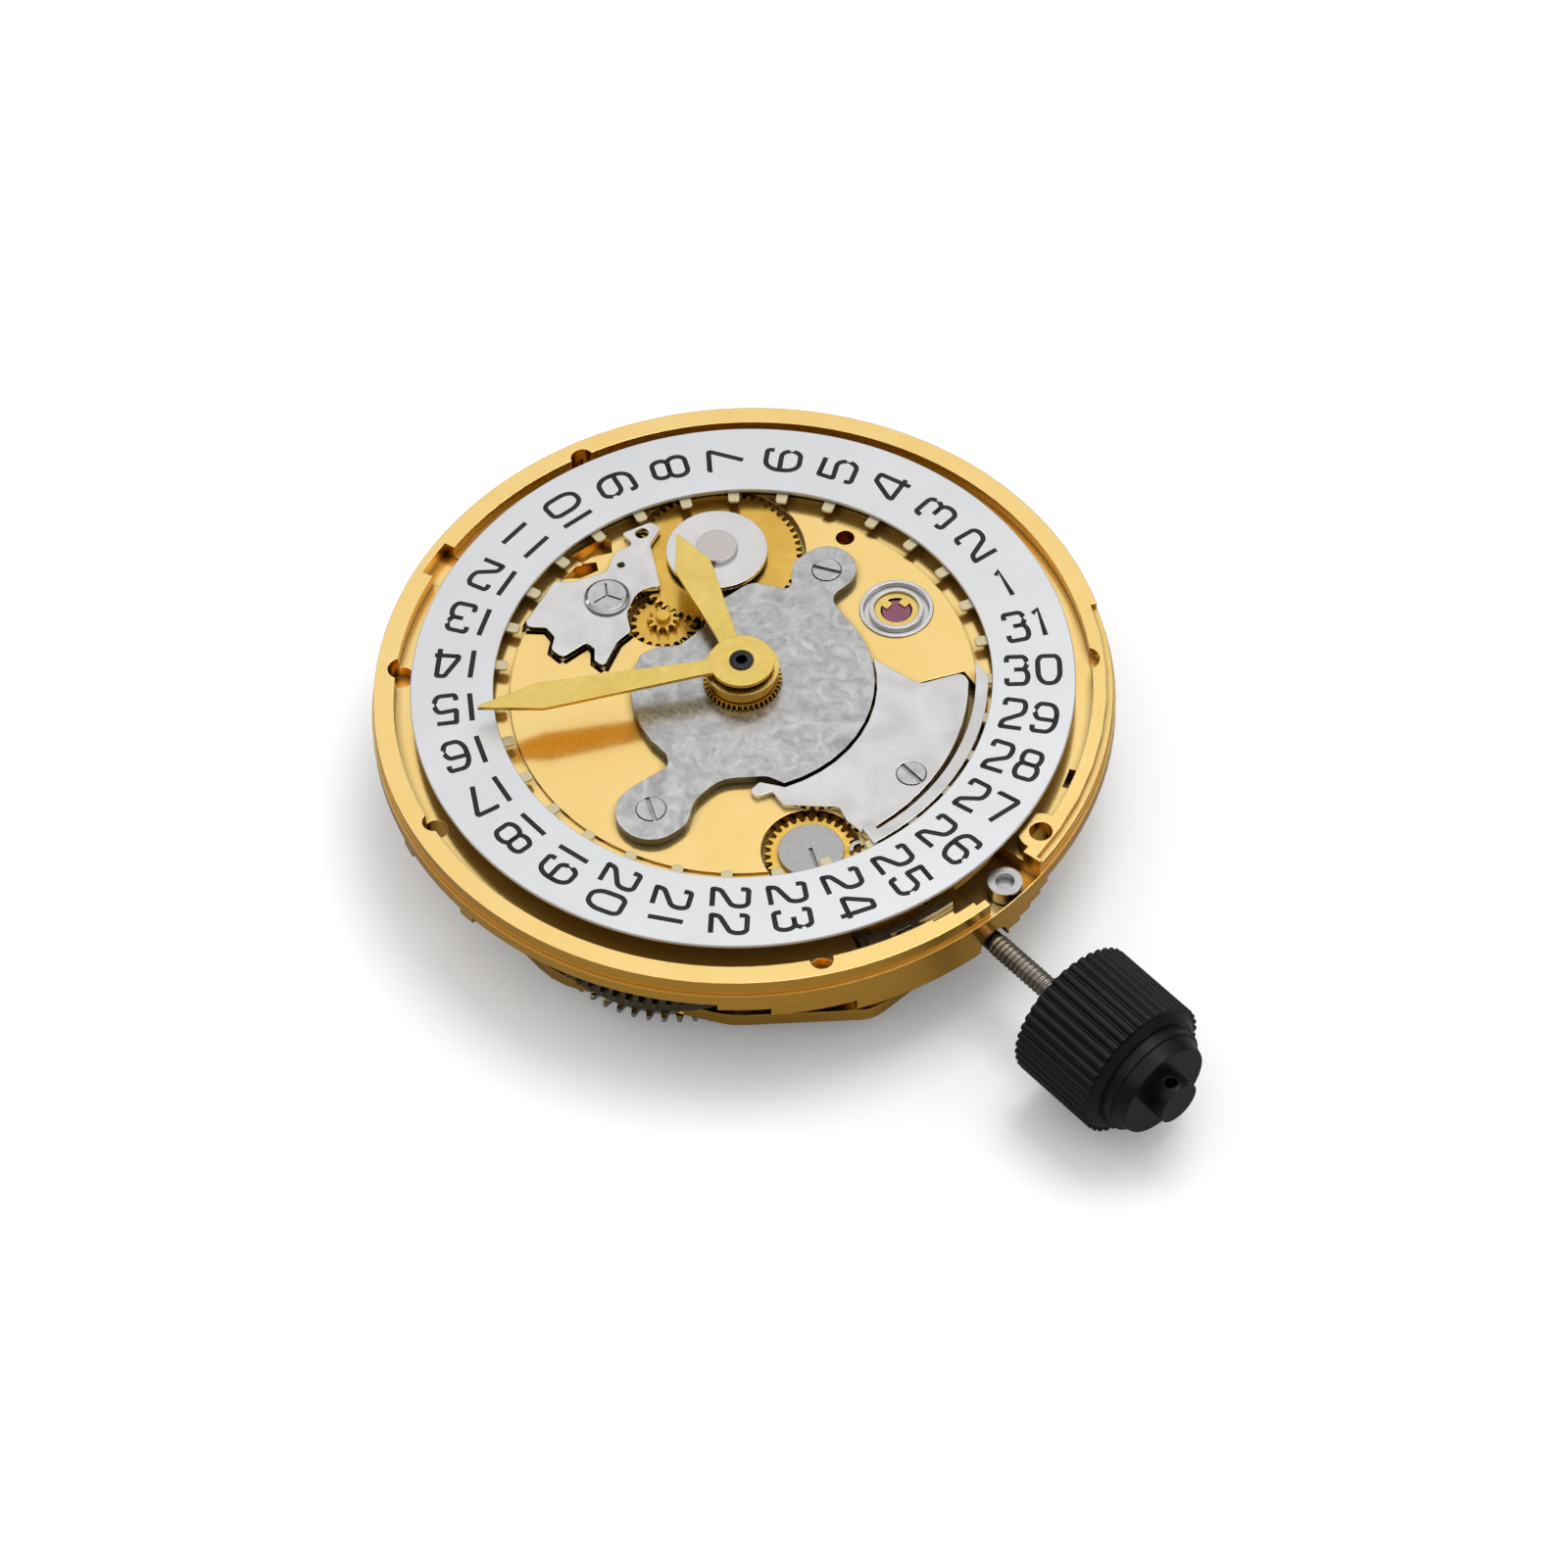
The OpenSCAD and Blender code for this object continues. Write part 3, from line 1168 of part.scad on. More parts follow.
automatic_bridge();
rotor_gear();
reversing_wheel();
reduction_wheel();
rotor();
rotor_bearing();
rotor_bearing_inner();
rotor_screw();
jewels();
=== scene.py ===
# %% [markdown]
# # An automatic watch movement, dial side up
# The solids of the movement come in as a fixed frame, in metres. This lesson gives them their
# finishes, lights them like a product photograph, and adds what is easier to make here than in
# the solids: a thin date ring with printed numbers, the milled edges of the plate, and the slim,
# threaded end of the stem.

# %% Load the frame
import math

import bmesh
import bpy
from mathutils import Matrix, Vector


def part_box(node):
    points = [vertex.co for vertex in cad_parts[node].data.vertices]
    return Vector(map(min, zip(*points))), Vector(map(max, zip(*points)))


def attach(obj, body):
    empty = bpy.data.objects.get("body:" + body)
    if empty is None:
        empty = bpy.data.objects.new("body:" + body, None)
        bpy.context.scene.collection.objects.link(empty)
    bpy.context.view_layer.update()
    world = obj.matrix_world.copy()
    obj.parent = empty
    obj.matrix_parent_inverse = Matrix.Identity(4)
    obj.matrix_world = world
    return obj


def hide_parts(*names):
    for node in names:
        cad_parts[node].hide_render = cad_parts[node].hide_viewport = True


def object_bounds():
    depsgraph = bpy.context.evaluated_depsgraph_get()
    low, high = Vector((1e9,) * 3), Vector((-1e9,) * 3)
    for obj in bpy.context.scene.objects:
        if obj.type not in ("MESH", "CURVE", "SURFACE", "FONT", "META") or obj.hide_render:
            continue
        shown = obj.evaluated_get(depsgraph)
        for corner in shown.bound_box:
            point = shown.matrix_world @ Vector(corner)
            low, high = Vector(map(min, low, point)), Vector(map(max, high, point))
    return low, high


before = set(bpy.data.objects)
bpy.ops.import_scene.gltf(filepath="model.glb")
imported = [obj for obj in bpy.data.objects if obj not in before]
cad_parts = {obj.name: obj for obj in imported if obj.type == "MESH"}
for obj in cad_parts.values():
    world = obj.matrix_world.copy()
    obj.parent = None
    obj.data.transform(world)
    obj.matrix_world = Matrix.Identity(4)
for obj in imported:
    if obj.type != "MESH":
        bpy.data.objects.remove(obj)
cad_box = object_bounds()
MM = 0.001
print("pieces in the frame:", len(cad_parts))

# %% [markdown]
# ## Camera
# The photograph looks down on the dial at about 51 degrees from the corner between four and five
# o'clock. The camera was fitted to the round rim: the ellipse of the rim gives the tilt and the
# stem gives the turn. A long lens keeps the ellipse almost free of perspective.

# %% Camera
LENS_MM = 131.8
CAMERA_AT_MM = (98.641, -78.744, 155.493)
CAMERA_TURN = (38.023, 1.628, 48.741)
camera_data = bpy.data.cameras.new("camera")
camera_data.sensor_width = 36
camera_data.lens = LENS_MM
camera_data.clip_start = 0.01
camera = bpy.data.objects.new("camera", camera_data)
camera.location = Vector(CAMERA_AT_MM) * MM
camera.rotation_euler = [math.radians(a) for a in CAMERA_TURN]
bpy.context.collection.objects.link(camera)
bpy.context.scene.camera = camera
print("camera distance in mm:", round(camera.location.length / MM, 1))

# %% [markdown]
# ## Floor
# The movement lies on white card. A modelled card with an edge would have to be placed and cut;
# one large plane at the lowest point of the part does the same and has no edge in view.

# %% Floor
FLOOR_SIZE = 2.4
low = cad_box[0][2]
bpy.ops.mesh.primitive_plane_add(size=FLOOR_SIZE, location=(0, 0, low))
floor = bpy.context.object
floor.name = "floor"
print("floor height in mm:", round(low / MM, 2))

# %% [markdown]
# ## Soft boxes
# One large soft box hangs over the movement, a little behind it and to the right, so the soft
# shadow falls to the lower left. A smaller one on the left opens up the shaded side. Spot lamps
# would give hard sparks on polished metal, so both are area lamps, like the cloth of a real soft
# box. The power of an area lamp follows from its size and from how bright its cloth should look
# when a metal mirrors it.


# %% Soft boxes
def soft_box(name, place, size, radiance):
    width, depth = size
    data = bpy.data.lights.new(name, "AREA")
    data.shape = "RECTANGLE"
    data.size = width
    data.size_y = depth
    data.energy = math.pi * width * depth * radiance
    lamp = bpy.data.objects.new(name, data)
    lamp.location = place
    lamp.rotation_euler = (-Vector(place)).to_track_quat("-Z", "Y").to_euler()
    bpy.context.collection.objects.link(lamp)


soft_box("overhead_box", place=(-0.02, 0.13, 0.40), size=(0.20, 0.20), radiance=4.6)
soft_box("left_box", place=(-0.34, -0.16, 0.22), size=(0.10, 0.16), radiance=2.2)

# %% [markdown]
# ## Light tent
# The rest of the room is a light tent: bright cloth overhead, dark towards the table. Level
# metal mirrors the bright top of the tent and upright walls mirror its dark side, and this change
# is what draws the form. So the tent is a ramp over the height of each direction, and not one
# flat white. Two small helpers, for adding and joining nodes, keep this and all later trees short.


# %% Light tent
def add(tree, kind, at=(0, 0), **values):
    node = tree.nodes.new(kind)
    node.location = at
    for name, value in values.items():
        setattr(node, name, value)
    return node


def join(tree, source, target):
    tree.links.new(source, target)


TENT = [(0.0, 0.14), (0.30, 0.24), (0.52, 0.50), (0.70, 0.98), (1.0, 1.12)]
world = bpy.data.worlds.new("studio")
bpy.context.scene.world = world
world.use_nodes = True
tent_tree = world.node_tree
direction = add(tent_tree, "ShaderNodeTexCoord", (-900, 300))
height = add(tent_tree, "ShaderNodeSeparateXYZ", (-700, 300))
ramp = add(tent_tree, "ShaderNodeValToRGB", (-500, 300))
while len(ramp.color_ramp.elements) < len(TENT):
    ramp.color_ramp.elements.new(0.5)
for stop, (position, level) in zip(ramp.color_ramp.elements, TENT):
    stop.position = position
    stop.color = (level, level, level, 1)
join(tent_tree, direction.outputs["Generated"], height.inputs[0])
join(tent_tree, height.outputs["Z"], ramp.inputs["Fac"])
join(tent_tree, ramp.outputs["Color"], tent_tree.nodes["Background"].inputs["Color"])
bpy.context.scene.view_settings.view_transform = "Standard"
print("tent levels from table to top:", [level for _, level in TENT])

# %% [markdown]
# ## Grain, clouds and swirls
# Real plated metal is never even. A few effects come back in many finishes, so each is built once
# as a node group. The first three are the same noise at different strengths: a fine grain, slow
# clouds of tone, and the swirls that tumbling leaves on pressed steel. Image textures would need
# files and unwrapping. Noise in object coordinates needs neither and stays with the piece.
# The coordinates are in metres, so a size per millimetre is multiplied by a thousand.


# %% Grain, clouds and swirls
def new_group(name, inputs):
    """Start a group: every socket is a number, and what comes out is called Value."""
    group = bpy.data.node_groups.new(name, "ShaderNodeTree")
    for label, value in inputs.items():
        socket = group.interface.new_socket(label, in_out="INPUT", socket_type="NodeSocketFloat")
        socket.default_value = value
    group.interface.new_socket("Value", in_out="OUTPUT", socket_type="NodeSocketFloat")
    inside = add(group, "NodeGroupInput", (-700, 0))
    out = add(group, "NodeGroupOutput", (500, 0))
    return group, inside, out


NOISE_LOW, NOISE_HIGH = 0.3, 0.7


def build_noise_group(name, detail, distortion):
    group, inside, out = new_group(name, {"Per mm": 10.0, "Low": 0.0, "High": 1.0})
    place = add(group, "ShaderNodeTexCoord", (-700, -200))
    per_metre = add(group, "ShaderNodeMath", (-500, 0), operation="MULTIPLY")
    per_metre.inputs[1].default_value = 1 / MM
    noise = add(group, "ShaderNodeTexNoise", (-300, 0))
    noise.inputs["Detail"].default_value = detail
    noise.inputs["Distortion"].default_value = distortion
    spread = add(group, "ShaderNodeMapRange", (0, 0))
    spread.inputs["From Min"].default_value = NOISE_LOW
    spread.inputs["From Max"].default_value = NOISE_HIGH
    join(group, inside.outputs["Per mm"], per_metre.inputs[0])
    join(group, place.outputs["Object"], noise.inputs["Vector"])
    join(group, per_metre.outputs[0], noise.inputs["Scale"])
    join(group, noise.outputs["Fac"], spread.inputs["Value"])
    join(group, inside.outputs["Low"], spread.inputs["To Min"])
    join(group, inside.outputs["High"], spread.inputs["To Max"])
    join(group, spread.outputs["Result"], out.inputs["Value"])
    return group


grain = build_noise_group("grain", detail=2.0, distortion=0.0)
clouds = build_noise_group("clouds", detail=4.0, distortion=0.6)
swirls = build_noise_group("swirls", detail=6.0, distortion=2.2)
print("groups:", [g.name for g in bpy.data.node_groups])

# %% [markdown]
# ## Brushed lines
# The wheels are brushed: many fine scratches side by side. A scratch is noise that is drawn out
# along one direction. So the place is turned about Z, squeezed along X, and then fed to the noise.


# %% Brushed lines
def build_brush_group():
    group, inside, out = new_group("brushed_lines", {"Per mm": 30.0, "Stretch": 0.03, "Turn": 0.0})
    place = add(group, "ShaderNodeTexCoord", (-900, -200))
    turn = add(group, "ShaderNodeVectorRotate", (-700, -200), rotation_type="Z_AXIS")
    split = add(group, "ShaderNodeSeparateXYZ", (-520, -200))
    squeeze = add(group, "ShaderNodeMath", (-360, -100), operation="MULTIPLY")
    pack = add(group, "ShaderNodeCombineXYZ", (-200, -200))
    per_metre = add(group, "ShaderNodeMath", (-360, 100), operation="MULTIPLY")
    per_metre.inputs[1].default_value = 1 / MM
    noise = add(group, "ShaderNodeTexNoise", (0, 0))
    noise.inputs["Detail"].default_value = 3.0
    join(group, place.outputs["Object"], turn.inputs["Vector"])
    join(group, inside.outputs["Turn"], turn.inputs["Angle"])
    join(group, turn.outputs[0], split.inputs[0])
    join(group, split.outputs["X"], squeeze.inputs[0])
    join(group, inside.outputs["Stretch"], squeeze.inputs[1])
    join(group, squeeze.outputs[0], pack.inputs["X"])
    join(group, split.outputs["Y"], pack.inputs["Y"])
    join(group, split.outputs["Z"], pack.inputs["Z"])
    join(group, inside.outputs["Per mm"], per_metre.inputs[0])
    join(group, pack.outputs[0], noise.inputs["Vector"])
    join(group, per_metre.outputs[0], noise.inputs["Scale"])
    join(group, noise.outputs["Fac"], out.inputs["Value"])
    return group


brushed_lines = build_brush_group()
print("groups:", len(bpy.data.node_groups))

# %% [markdown]
# ## Crevice shade
# Slots, gaps and the feet of walls are darkened in the colour: this is painted shade, for the
# little light that finds its way in and out. Painting that by hand would miss what moves. The
# ambient occlusion node measures how closed a place is: the group is 1 in the open and Depth when
# closed.

# %% Crevices
CLOSED, OPEN = 0.25, 0.85


def build_crevice_group():
    group, inside, out = new_group("painted_crevice_shade", {"Reach mm": 0.15, "Depth": 0.3})
    to_metres = add(group, "ShaderNodeMath", (-500, 0), operation="MULTIPLY")
    to_metres.inputs[1].default_value = MM
    corner = add(group, "ShaderNodeAmbientOcclusion", (-300, 0), samples=8)
    spread = add(group, "ShaderNodeMapRange", (0, 0))
    spread.inputs["From Min"].default_value = CLOSED
    spread.inputs["From Max"].default_value = OPEN
    join(group, inside.outputs["Reach mm"], to_metres.inputs[0])
    join(group, to_metres.outputs[0], corner.inputs["Distance"])
    join(group, corner.outputs["AO"], spread.inputs["Value"])
    join(group, inside.outputs["Depth"], spread.inputs["To Min"])
    join(group, spread.outputs["Result"], out.inputs["Value"])
    return group


painted_crevice_shade = build_crevice_group()
print("groups:", len(bpy.data.node_groups))

# %% [markdown]
# ## Zones
# Some pieces carry two tones, such as the boss on the date disc or the gilt teeth of the painted
# ring. Each could be split into two pieces, but on the real object they are one. So a group marks
# the part of a piece that lies within a radius of the centre axis and between two heights, in mm.

# %% Zones
FAR = 99.0


def build_zone_group():
    group, inside, out = new_group("zone", {"Radius max": FAR, "Height min": -FAR,
                                            "Height max": FAR})
    place = add(group, "ShaderNodeTexCoord", (-1100, 0))
    scale = add(group, "ShaderNodeVectorMath", (-920, 0), operation="SCALE")
    scale.inputs["Scale"].default_value = 1 / MM
    flat = add(group, "ShaderNodeVectorMath", (-560, 0), operation="MULTIPLY")
    flat.inputs[1].default_value = (1, 1, 0)
    radius = add(group, "ShaderNodeVectorMath", (-400, 0), operation="LENGTH")
    split = add(group, "ShaderNodeSeparateXYZ", (-560, -200))
    join(group, place.outputs["Object"], scale.inputs[0])
    join(group, scale.outputs[0], flat.inputs[0])
    join(group, flat.outputs[0], radius.inputs[0])
    join(group, scale.outputs[0], split.inputs[0])
    total = None
    for kind, source, label in (("LESS_THAN", radius.outputs["Value"], "Radius max"),
                                ("GREATER_THAN", split.outputs["Z"], "Height min"),
                                ("LESS_THAN", split.outputs["Z"], "Height max")):
        test = add(group, "ShaderNodeMath", (-200, 0), operation=kind)
        join(group, source, test.inputs[0])
        join(group, inside.outputs[label], test.inputs[1])
        if total is None:
            total = test
        else:
            both = add(group, "ShaderNodeMath", (0, 0), operation="MULTIPLY")
            join(group, total.outputs[0], both.inputs[0])
            join(group, test.outputs[0], both.inputs[1])
            total = both
    join(group, total.outputs[0], out.inputs["Value"])
    return group


zone = build_zone_group()
print("groups:", len(bpy.data.node_groups))

# %% [markdown]
# ## Upright walls, painted shade
# The turned walls of the plate are given a deeper gold than its level faces: painted shade and
# reflection, for how they look where they mirror other gilt walls. The normal of the piece itself
# tells the two apart: the group is 0 on level faces and 1 on upright walls.


# %% Upright walls
def build_wall_group():
    group, inside, out = new_group("wall_shade_mask", {"Softness": 0.5})
    place = add(group, "ShaderNodeTexCoord", (-700, -200))
    split = add(group, "ShaderNodeSeparateXYZ", (-520, -200))
    level = add(group, "ShaderNodeMath", (-360, -200), operation="ABSOLUTE")
    spread = add(group, "ShaderNodeMapRange", (0, 0))
    spread.inputs["From Max"].default_value = 1.0
    spread.inputs["To Min"].default_value = 1.0
    spread.inputs["To Max"].default_value = 0.0
    join(group, place.outputs["Normal"], split.inputs[0])
    join(group, split.outputs["Z"], level.inputs[0])
    join(group, level.outputs[0], spread.inputs["Value"])
    join(group, inside.outputs["Softness"], spread.inputs["From Min"])
    join(group, spread.outputs["Result"], out.inputs["Value"])
    return group


wall_shade_mask = build_wall_group()
print("all groups:", [g.name for g in bpy.data.node_groups])

# %% [markdown]
# ## Colour of a metal
# Every finish starts as a dark and a light tone, mixed by the clouds. A wall tone of painted shade
# and a patch can lie over that, and painted crevice shade darkens the whole. The layers are the
# same for every finish, so one helper builds them, and a finish only says which layers it has.


# %% Colour of a metal
def effect(tree, group, at, values):
    """Put a shared effect into a material, set its sockets and hand back what comes out."""
    node = add(tree, "ShaderNodeGroup", at, node_tree=group)
    for label, value in values.items():
        node.inputs[label].default_value = value
    return node.outputs["Value"]


def lay_over(tree, colour, tone, mask, at):
    """Lay a plain tone over a colour where the mask is 1."""
    mix = add(tree, "ShaderNodeMix", at, data_type="RGBA")
    mix.inputs["B"].default_value = (*tone, 1)
    join(tree, mask, mix.inputs["Factor"])
    join(tree, colour, mix.inputs["A"])
    return mix.outputs["Result"]


def colour_layers(tree, dark, light, cloud_per_mm, tone_group, wall_shade_tone, patch, crevice_shade):
    tones = add(tree, "ShaderNodeMix", (-900, 200), data_type="RGBA")
    tones.inputs["A"].default_value = (*dark, 1)
    tones.inputs["B"].default_value = (*light, 1)
    cloudy = effect(tree, tone_group, (-1100, 200), {"Per mm": cloud_per_mm})
    join(tree, cloudy, tones.inputs["Factor"])
    colour = tones.outputs["Result"]
    # painted shade and reflection: upright walls get a deeper tone
    if wall_shade_tone:
        upright_shade = effect(tree, wall_shade_mask, (-900, 0), {})
        colour = lay_over(tree, colour, wall_shade_tone, upright_shade, (-800, 100))
    if patch:
        patch_tone, limits = patch
        where = effect(tree, zone, (-900, 500), limits)
        colour = lay_over(tree, colour, patch_tone, where, (-700, 400))
    # painted shade: the colour is darkened where the piece is closed in
    if crevice_shade:
        reach, depth = crevice_shade
        gap_shade = effect(tree, painted_crevice_shade, (-700, 0), {"Reach mm": reach, "Depth": depth})
        shade = add(tree, "ShaderNodeMix", (-450, 200), data_type="RGBA", blend_type="MULTIPLY")
        shade.inputs["Factor"].default_value = 1.0
        join(tree, colour, shade.inputs["A"])
        join(tree, gap_shade, shade.inputs["B"])
        colour = shade.outputs["Result"]
    return colour


print("a finish can have these layers: clouds, wall tone, patch, crevices")

# %% [markdown]
# ## Relief of a metal
# Grain and brushed lines are a few thousandths of a millimetre deep, far too fine for a mesh, so
# they are a bump in the shader. A bevel in the shader rounds the sharp edges by a few hundredths
# of a millimetre, because real edges are broken and catch the light.

# %% Relief of a metal
RELIEF_MM = 0.004


def relief_layers(tree, grain_per_mm, bump, brush, edge_mm):
    if brush:
        per_mm, stretch, turn = brush
        lines = effect(tree, brushed_lines, (-700, -350),
                       {"Per mm": per_mm, "Stretch": stretch, "Turn": math.radians(turn)})
    else:
        lines = effect(tree, grain, (-700, -350), {"Per mm": grain_per_mm})
    round_edge = add(tree, "ShaderNodeBevel", (-450, -500), samples=4)
    round_edge.inputs["Radius"].default_value = edge_mm * MM
    relief = add(tree, "ShaderNodeBump", (-250, -350))
    relief.inputs["Strength"].default_value = bump
    relief.inputs["Distance"].default_value = RELIEF_MM * MM
    join(tree, lines, relief.inputs["Height"])
    join(tree, round_edge.outputs["Normal"], relief.inputs["Normal"])
    return relief.outputs["Normal"]


print("depth of the relief in mm:", RELIEF_MM)

# %% [markdown]
# ## Metal maker
# One maker builds every finish on the shader's own sockets: the colour layers, a roughness that a
# coarser grain varies by a fifth either way, and the relief. Paint, ruby and plastic come from it
# as well, with the metallic value turned down.

# %% Metal maker
ROUGH_FROM, ROUGH_TO = 0.8, 1.2
ROUGH_GRAIN_SIZE = 3


# Unless a finish turns it off, painted shade darkens its crevices.
def metal(name, dark, light, rough, grain_per_mm=40.0, cloud_per_mm=0.6, bump=0.15, brush=None,
          edge_mm=0.03, metallic=1.0, coat=0.0, specular=0.5, tone_group=clouds,
          wall_shade_tone=None, patch=None, crevice_shade=(0.15, 0.3)):
    mat = bpy.data.materials.new(name)
    mat.use_nodes = True
    tree = mat.node_tree
    skin = tree.nodes["Principled BSDF"]
    skin.inputs["Metallic"].default_value = metallic
    skin.inputs["Coat Weight"].default_value = coat
    skin.inputs["Specular IOR Level"].default_value = specular
    colour = colour_layers(tree, dark, light, cloud_per_mm, tone_group, wall_shade_tone, patch, crevice_shade)
    speck = effect(tree, grain, (-700, -150), {
        "Per mm": grain_per_mm / ROUGH_GRAIN_SIZE, "Low": rough * ROUGH_FROM,
        "High": rough * ROUGH_TO})
    relief = relief_layers(tree, grain_per_mm, bump, brush, edge_mm)
    join(tree, colour, skin.inputs["Base Color"])
    join(tree, speck, skin.inputs["Roughness"])
    join(tree, relief, skin.inputs["Normal"])
    return mat


# %% [markdown]
# ## Gilt finishes
# The gilt of the plate is thin and warm: almost white where it mirrors the tent, deep brown in
# its own shade. The wheels are darker and brushed, and the hands are gilt with a finer, duller
# surface. Colours are given as dark and light tone, then the roughness.

# %% Gilt finishes
# The wall tones of the plate and of the hands paint shade and reflection onto upright walls, and
# the crevice values paint shade into holes, gaps and the feet of walls.
gilt = metal("gilt_brass", (0.86, 0.60, 0.215), (0.90, 0.655, 0.26), 0.17, bump=0.05,
             grain_per_mm=24, cloud_per_mm=0.35, edge_mm=0.035, crevice_shade=(0.5, 0.10),
             wall_shade_tone=(0.90, 0.48, 0.07))
gilt_gear = metal("gilt_gear", (0.55, 0.32, 0.055), (0.74, 0.47, 0.10), 0.24, bump=0.1,
                  brush=(40, 0.04, 20), crevice_shade=(0.2, 0.2))
date_gear = metal("date_gear", (0.60, 0.36, 0.06), (0.76, 0.49, 0.11), 0.22, bump=0.1,
                  brush=(40, 0.04, 70), crevice_shade=(0.2, 0.2))
hand_gilt = metal("hand_gilt", (0.66, 0.475, 0.125), (0.73, 0.54, 0.16), 0.26, bump=0.01,
                  grain_per_mm=9, edge_mm=0.02, wall_shade_tone=(0.55, 0.32, 0.05))
pale_gilt = metal("pale_gilt", (0.70, 0.48, 0.13), (0.84, 0.62, 0.20), 0.2)
corrector_metal = metal("corrector_metal", (0.62, 0.38, 0.07), (0.78, 0.51, 0.12), 0.24,
                        crevice_shade=(0.2, 0.15), patch=((0.36, 0.355, 0.35), {"Height min": -0.3}))
print("gilt finishes:", [m.name for m in (gilt, gilt_gear, date_gear, hand_gilt, pale_gilt)])

# %% [markdown]
# ## Steel finishes
# The cover over the motion work is pressed steel with the swirls of its tumbling; its edge walls
# carry painted shade. The plates beside it are polished until they mirror, the screws have slots
# darkened with painted shade, and the cannon pinion is almost black. The boss of the date disc is
# a little darker than the disc round it.

# %% Steel finishes
BOSS_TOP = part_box("date_wheel_disc")[1][2] / MM
BOSS_HEIGHT = 0.03
cover_steel = metal("cover_steel", (0.31, 0.31, 0.312), (0.52, 0.515, 0.51), 0.27, bump=0.1,
                    grain_per_mm=18, cloud_per_mm=0.95, tone_group=swirls, crevice_shade=(0.2, 0.25),
                    wall_shade_tone=(0.12, 0.115, 0.11))
polished = metal("polished_plate", (0.56, 0.55, 0.54), (0.72, 0.71, 0.70), 0.13, bump=0.03,
                 crevice_shade=(0.15, 0.12))
# painted shade: a crevice depth of 0 makes the screw slots black
screw_steel = metal("screw_steel", (0.40, 0.39, 0.38), (0.58, 0.57, 0.56), 0.16, bump=0.04,
                    cloud_per_mm=2.0, crevice_shade=(0.35, 0.0))
date_disc = metal("date_disc", (0.62, 0.61, 0.60), (0.69, 0.68, 0.67), 0.16, bump=0.03,
                  patch=((0.55, 0.50, 0.48), {"Height min": BOSS_TOP - BOSS_HEIGHT}))
steel = metal("steel", (0.36, 0.35, 0.34), (0.55, 0.54, 0.53), 0.2, crevice_shade=(0.15, 0.2))
dark_steel = metal("dark_steel", (0.16, 0.14, 0.12), (0.34, 0.31, 0.27), 0.26,
                   crevice_shade=(0.1, 0.2))
cannon_steel = metal("cannon_steel", (0.02, 0.02, 0.022), (0.06, 0.06, 0.063), 0.2,
                     crevice_shade=(0.1, 0.05))
# The barrel and its cover are painted dark: painted shade, for the shadow they lie in under the
# flange.
barrel_shade_tone = metal("barrel_shade_tone", (0.10, 0.085, 0.06), (0.22, 0.18, 0.11), 0.3,
                    crevice_shade=(0.2, 0.2))
print("top of the boss in mm:", round(BOSS_TOP, 3))

# %% [markdown]
# ## Paint, ink, ruby and plastic
# The date ring is painted silver, so it is only half a metal, and its teeth show bare gilt. The
# ink is matt. The ruby of the shock setting has a clear, polished skin, which the coat gives. The
# knob is black plastic that mirrors little.

# %% Paint, ink, ruby and plastic
ring_paint = metal("ring_paint", (0.585, 0.59, 0.60), (0.625, 0.63, 0.64), 0.36, metallic=0.5,
                   bump=0.05, cloud_per_mm=0.25, crevice_shade=None,
                   patch=((0.52, 0.45, 0.28), {"Radius max": 9.2, "Height max": 0.2}))
numeral_ink = metal("numeral_ink", (0.008, 0.008, 0.009), (0.014, 0.014, 0.016), 0.5,
                    metallic=0.0, specular=0.25, crevice_shade=None)
ruby = metal("ruby", (0.14, 0.012, 0.055), (0.26, 0.03, 0.12), 0.06, metallic=0.0, coat=1.0,
             bump=0.02, crevice_shade=None)
black_plastic = metal("black_plastic", (0.0025, 0.0025, 0.0025), (0.006, 0.006, 0.006), 0.3,
                      metallic=0.0, specular=0.22, bump=0.1, edge_mm=0.06, crevice_shade=None)
print("materials, with those of the frame:", len(bpy.data.materials))

# %% [markdown]
# ## White card
# The card under the movement is bright to the eye, but the metal should mirror a darker table, as
# black flags just out of view would make it. A light-path switch on the card paints that
# reflection:
# mirrored rays see it dimmer. A little glow for camera rays is painted light that lifts the soft
# shadow, as a bright room does.

# %% White card
MIRRORED_CARD_SHADE = 0.30
CARD_GLOW = 0.12
white_card = metal("white_card", (0.93, 0.93, 0.93), (0.95, 0.95, 0.95), 0.9, metallic=0.0,
                   specular=0.1, grain_per_mm=2.0, cloud_per_mm=0.02, bump=0.02, crevice_shade=None)
card_tree = white_card.node_tree
card_skin = card_tree.nodes["Principled BSDF"]
card_colour = card_skin.inputs["Base Color"].links[0].from_socket
# painted reflection: glossy rays see the card darker; painted light: camera rays see it glow
ray = add(card_tree, "ShaderNodeLightPath", (-300, 500))
dimmed_for_mirrors = lay_over(card_tree, card_colour, (MIRRORED_CARD_SHADE, MIRRORED_CARD_SHADE, MIRRORED_CARD_SHADE),
                   ray.outputs["Is Glossy Ray"], (-100, 400))
join(card_tree, dimmed_for_mirrors, card_skin.inputs["Base Color"])
card_skin.inputs["Emission Color"].default_value = (1, 1, 1, 1)
shadow_lift = add(card_tree, "ShaderNodeMath", (-300, -700), operation="MULTIPLY")
shadow_lift.inputs[1].default_value = CARD_GLOW
join(card_tree, ray.outputs["Is Camera Ray"], shadow_lift.inputs[0])
join(card_tree, shadow_lift.outputs[0], card_skin.inputs["Emission Strength"])
floor.data.materials.append(white_card)
print("the floor wears", floor.data.materials[0].name)

# %% [markdown]
# ## Dress the frame
# Each node of the frame gets its finish by name. The record's slots are a first guess; what the
# photograph shows decides here, such as the darker, brushed wheels against the bright plate. The
# three nodes that are replaced further down are dressed too, so that none is left bare.

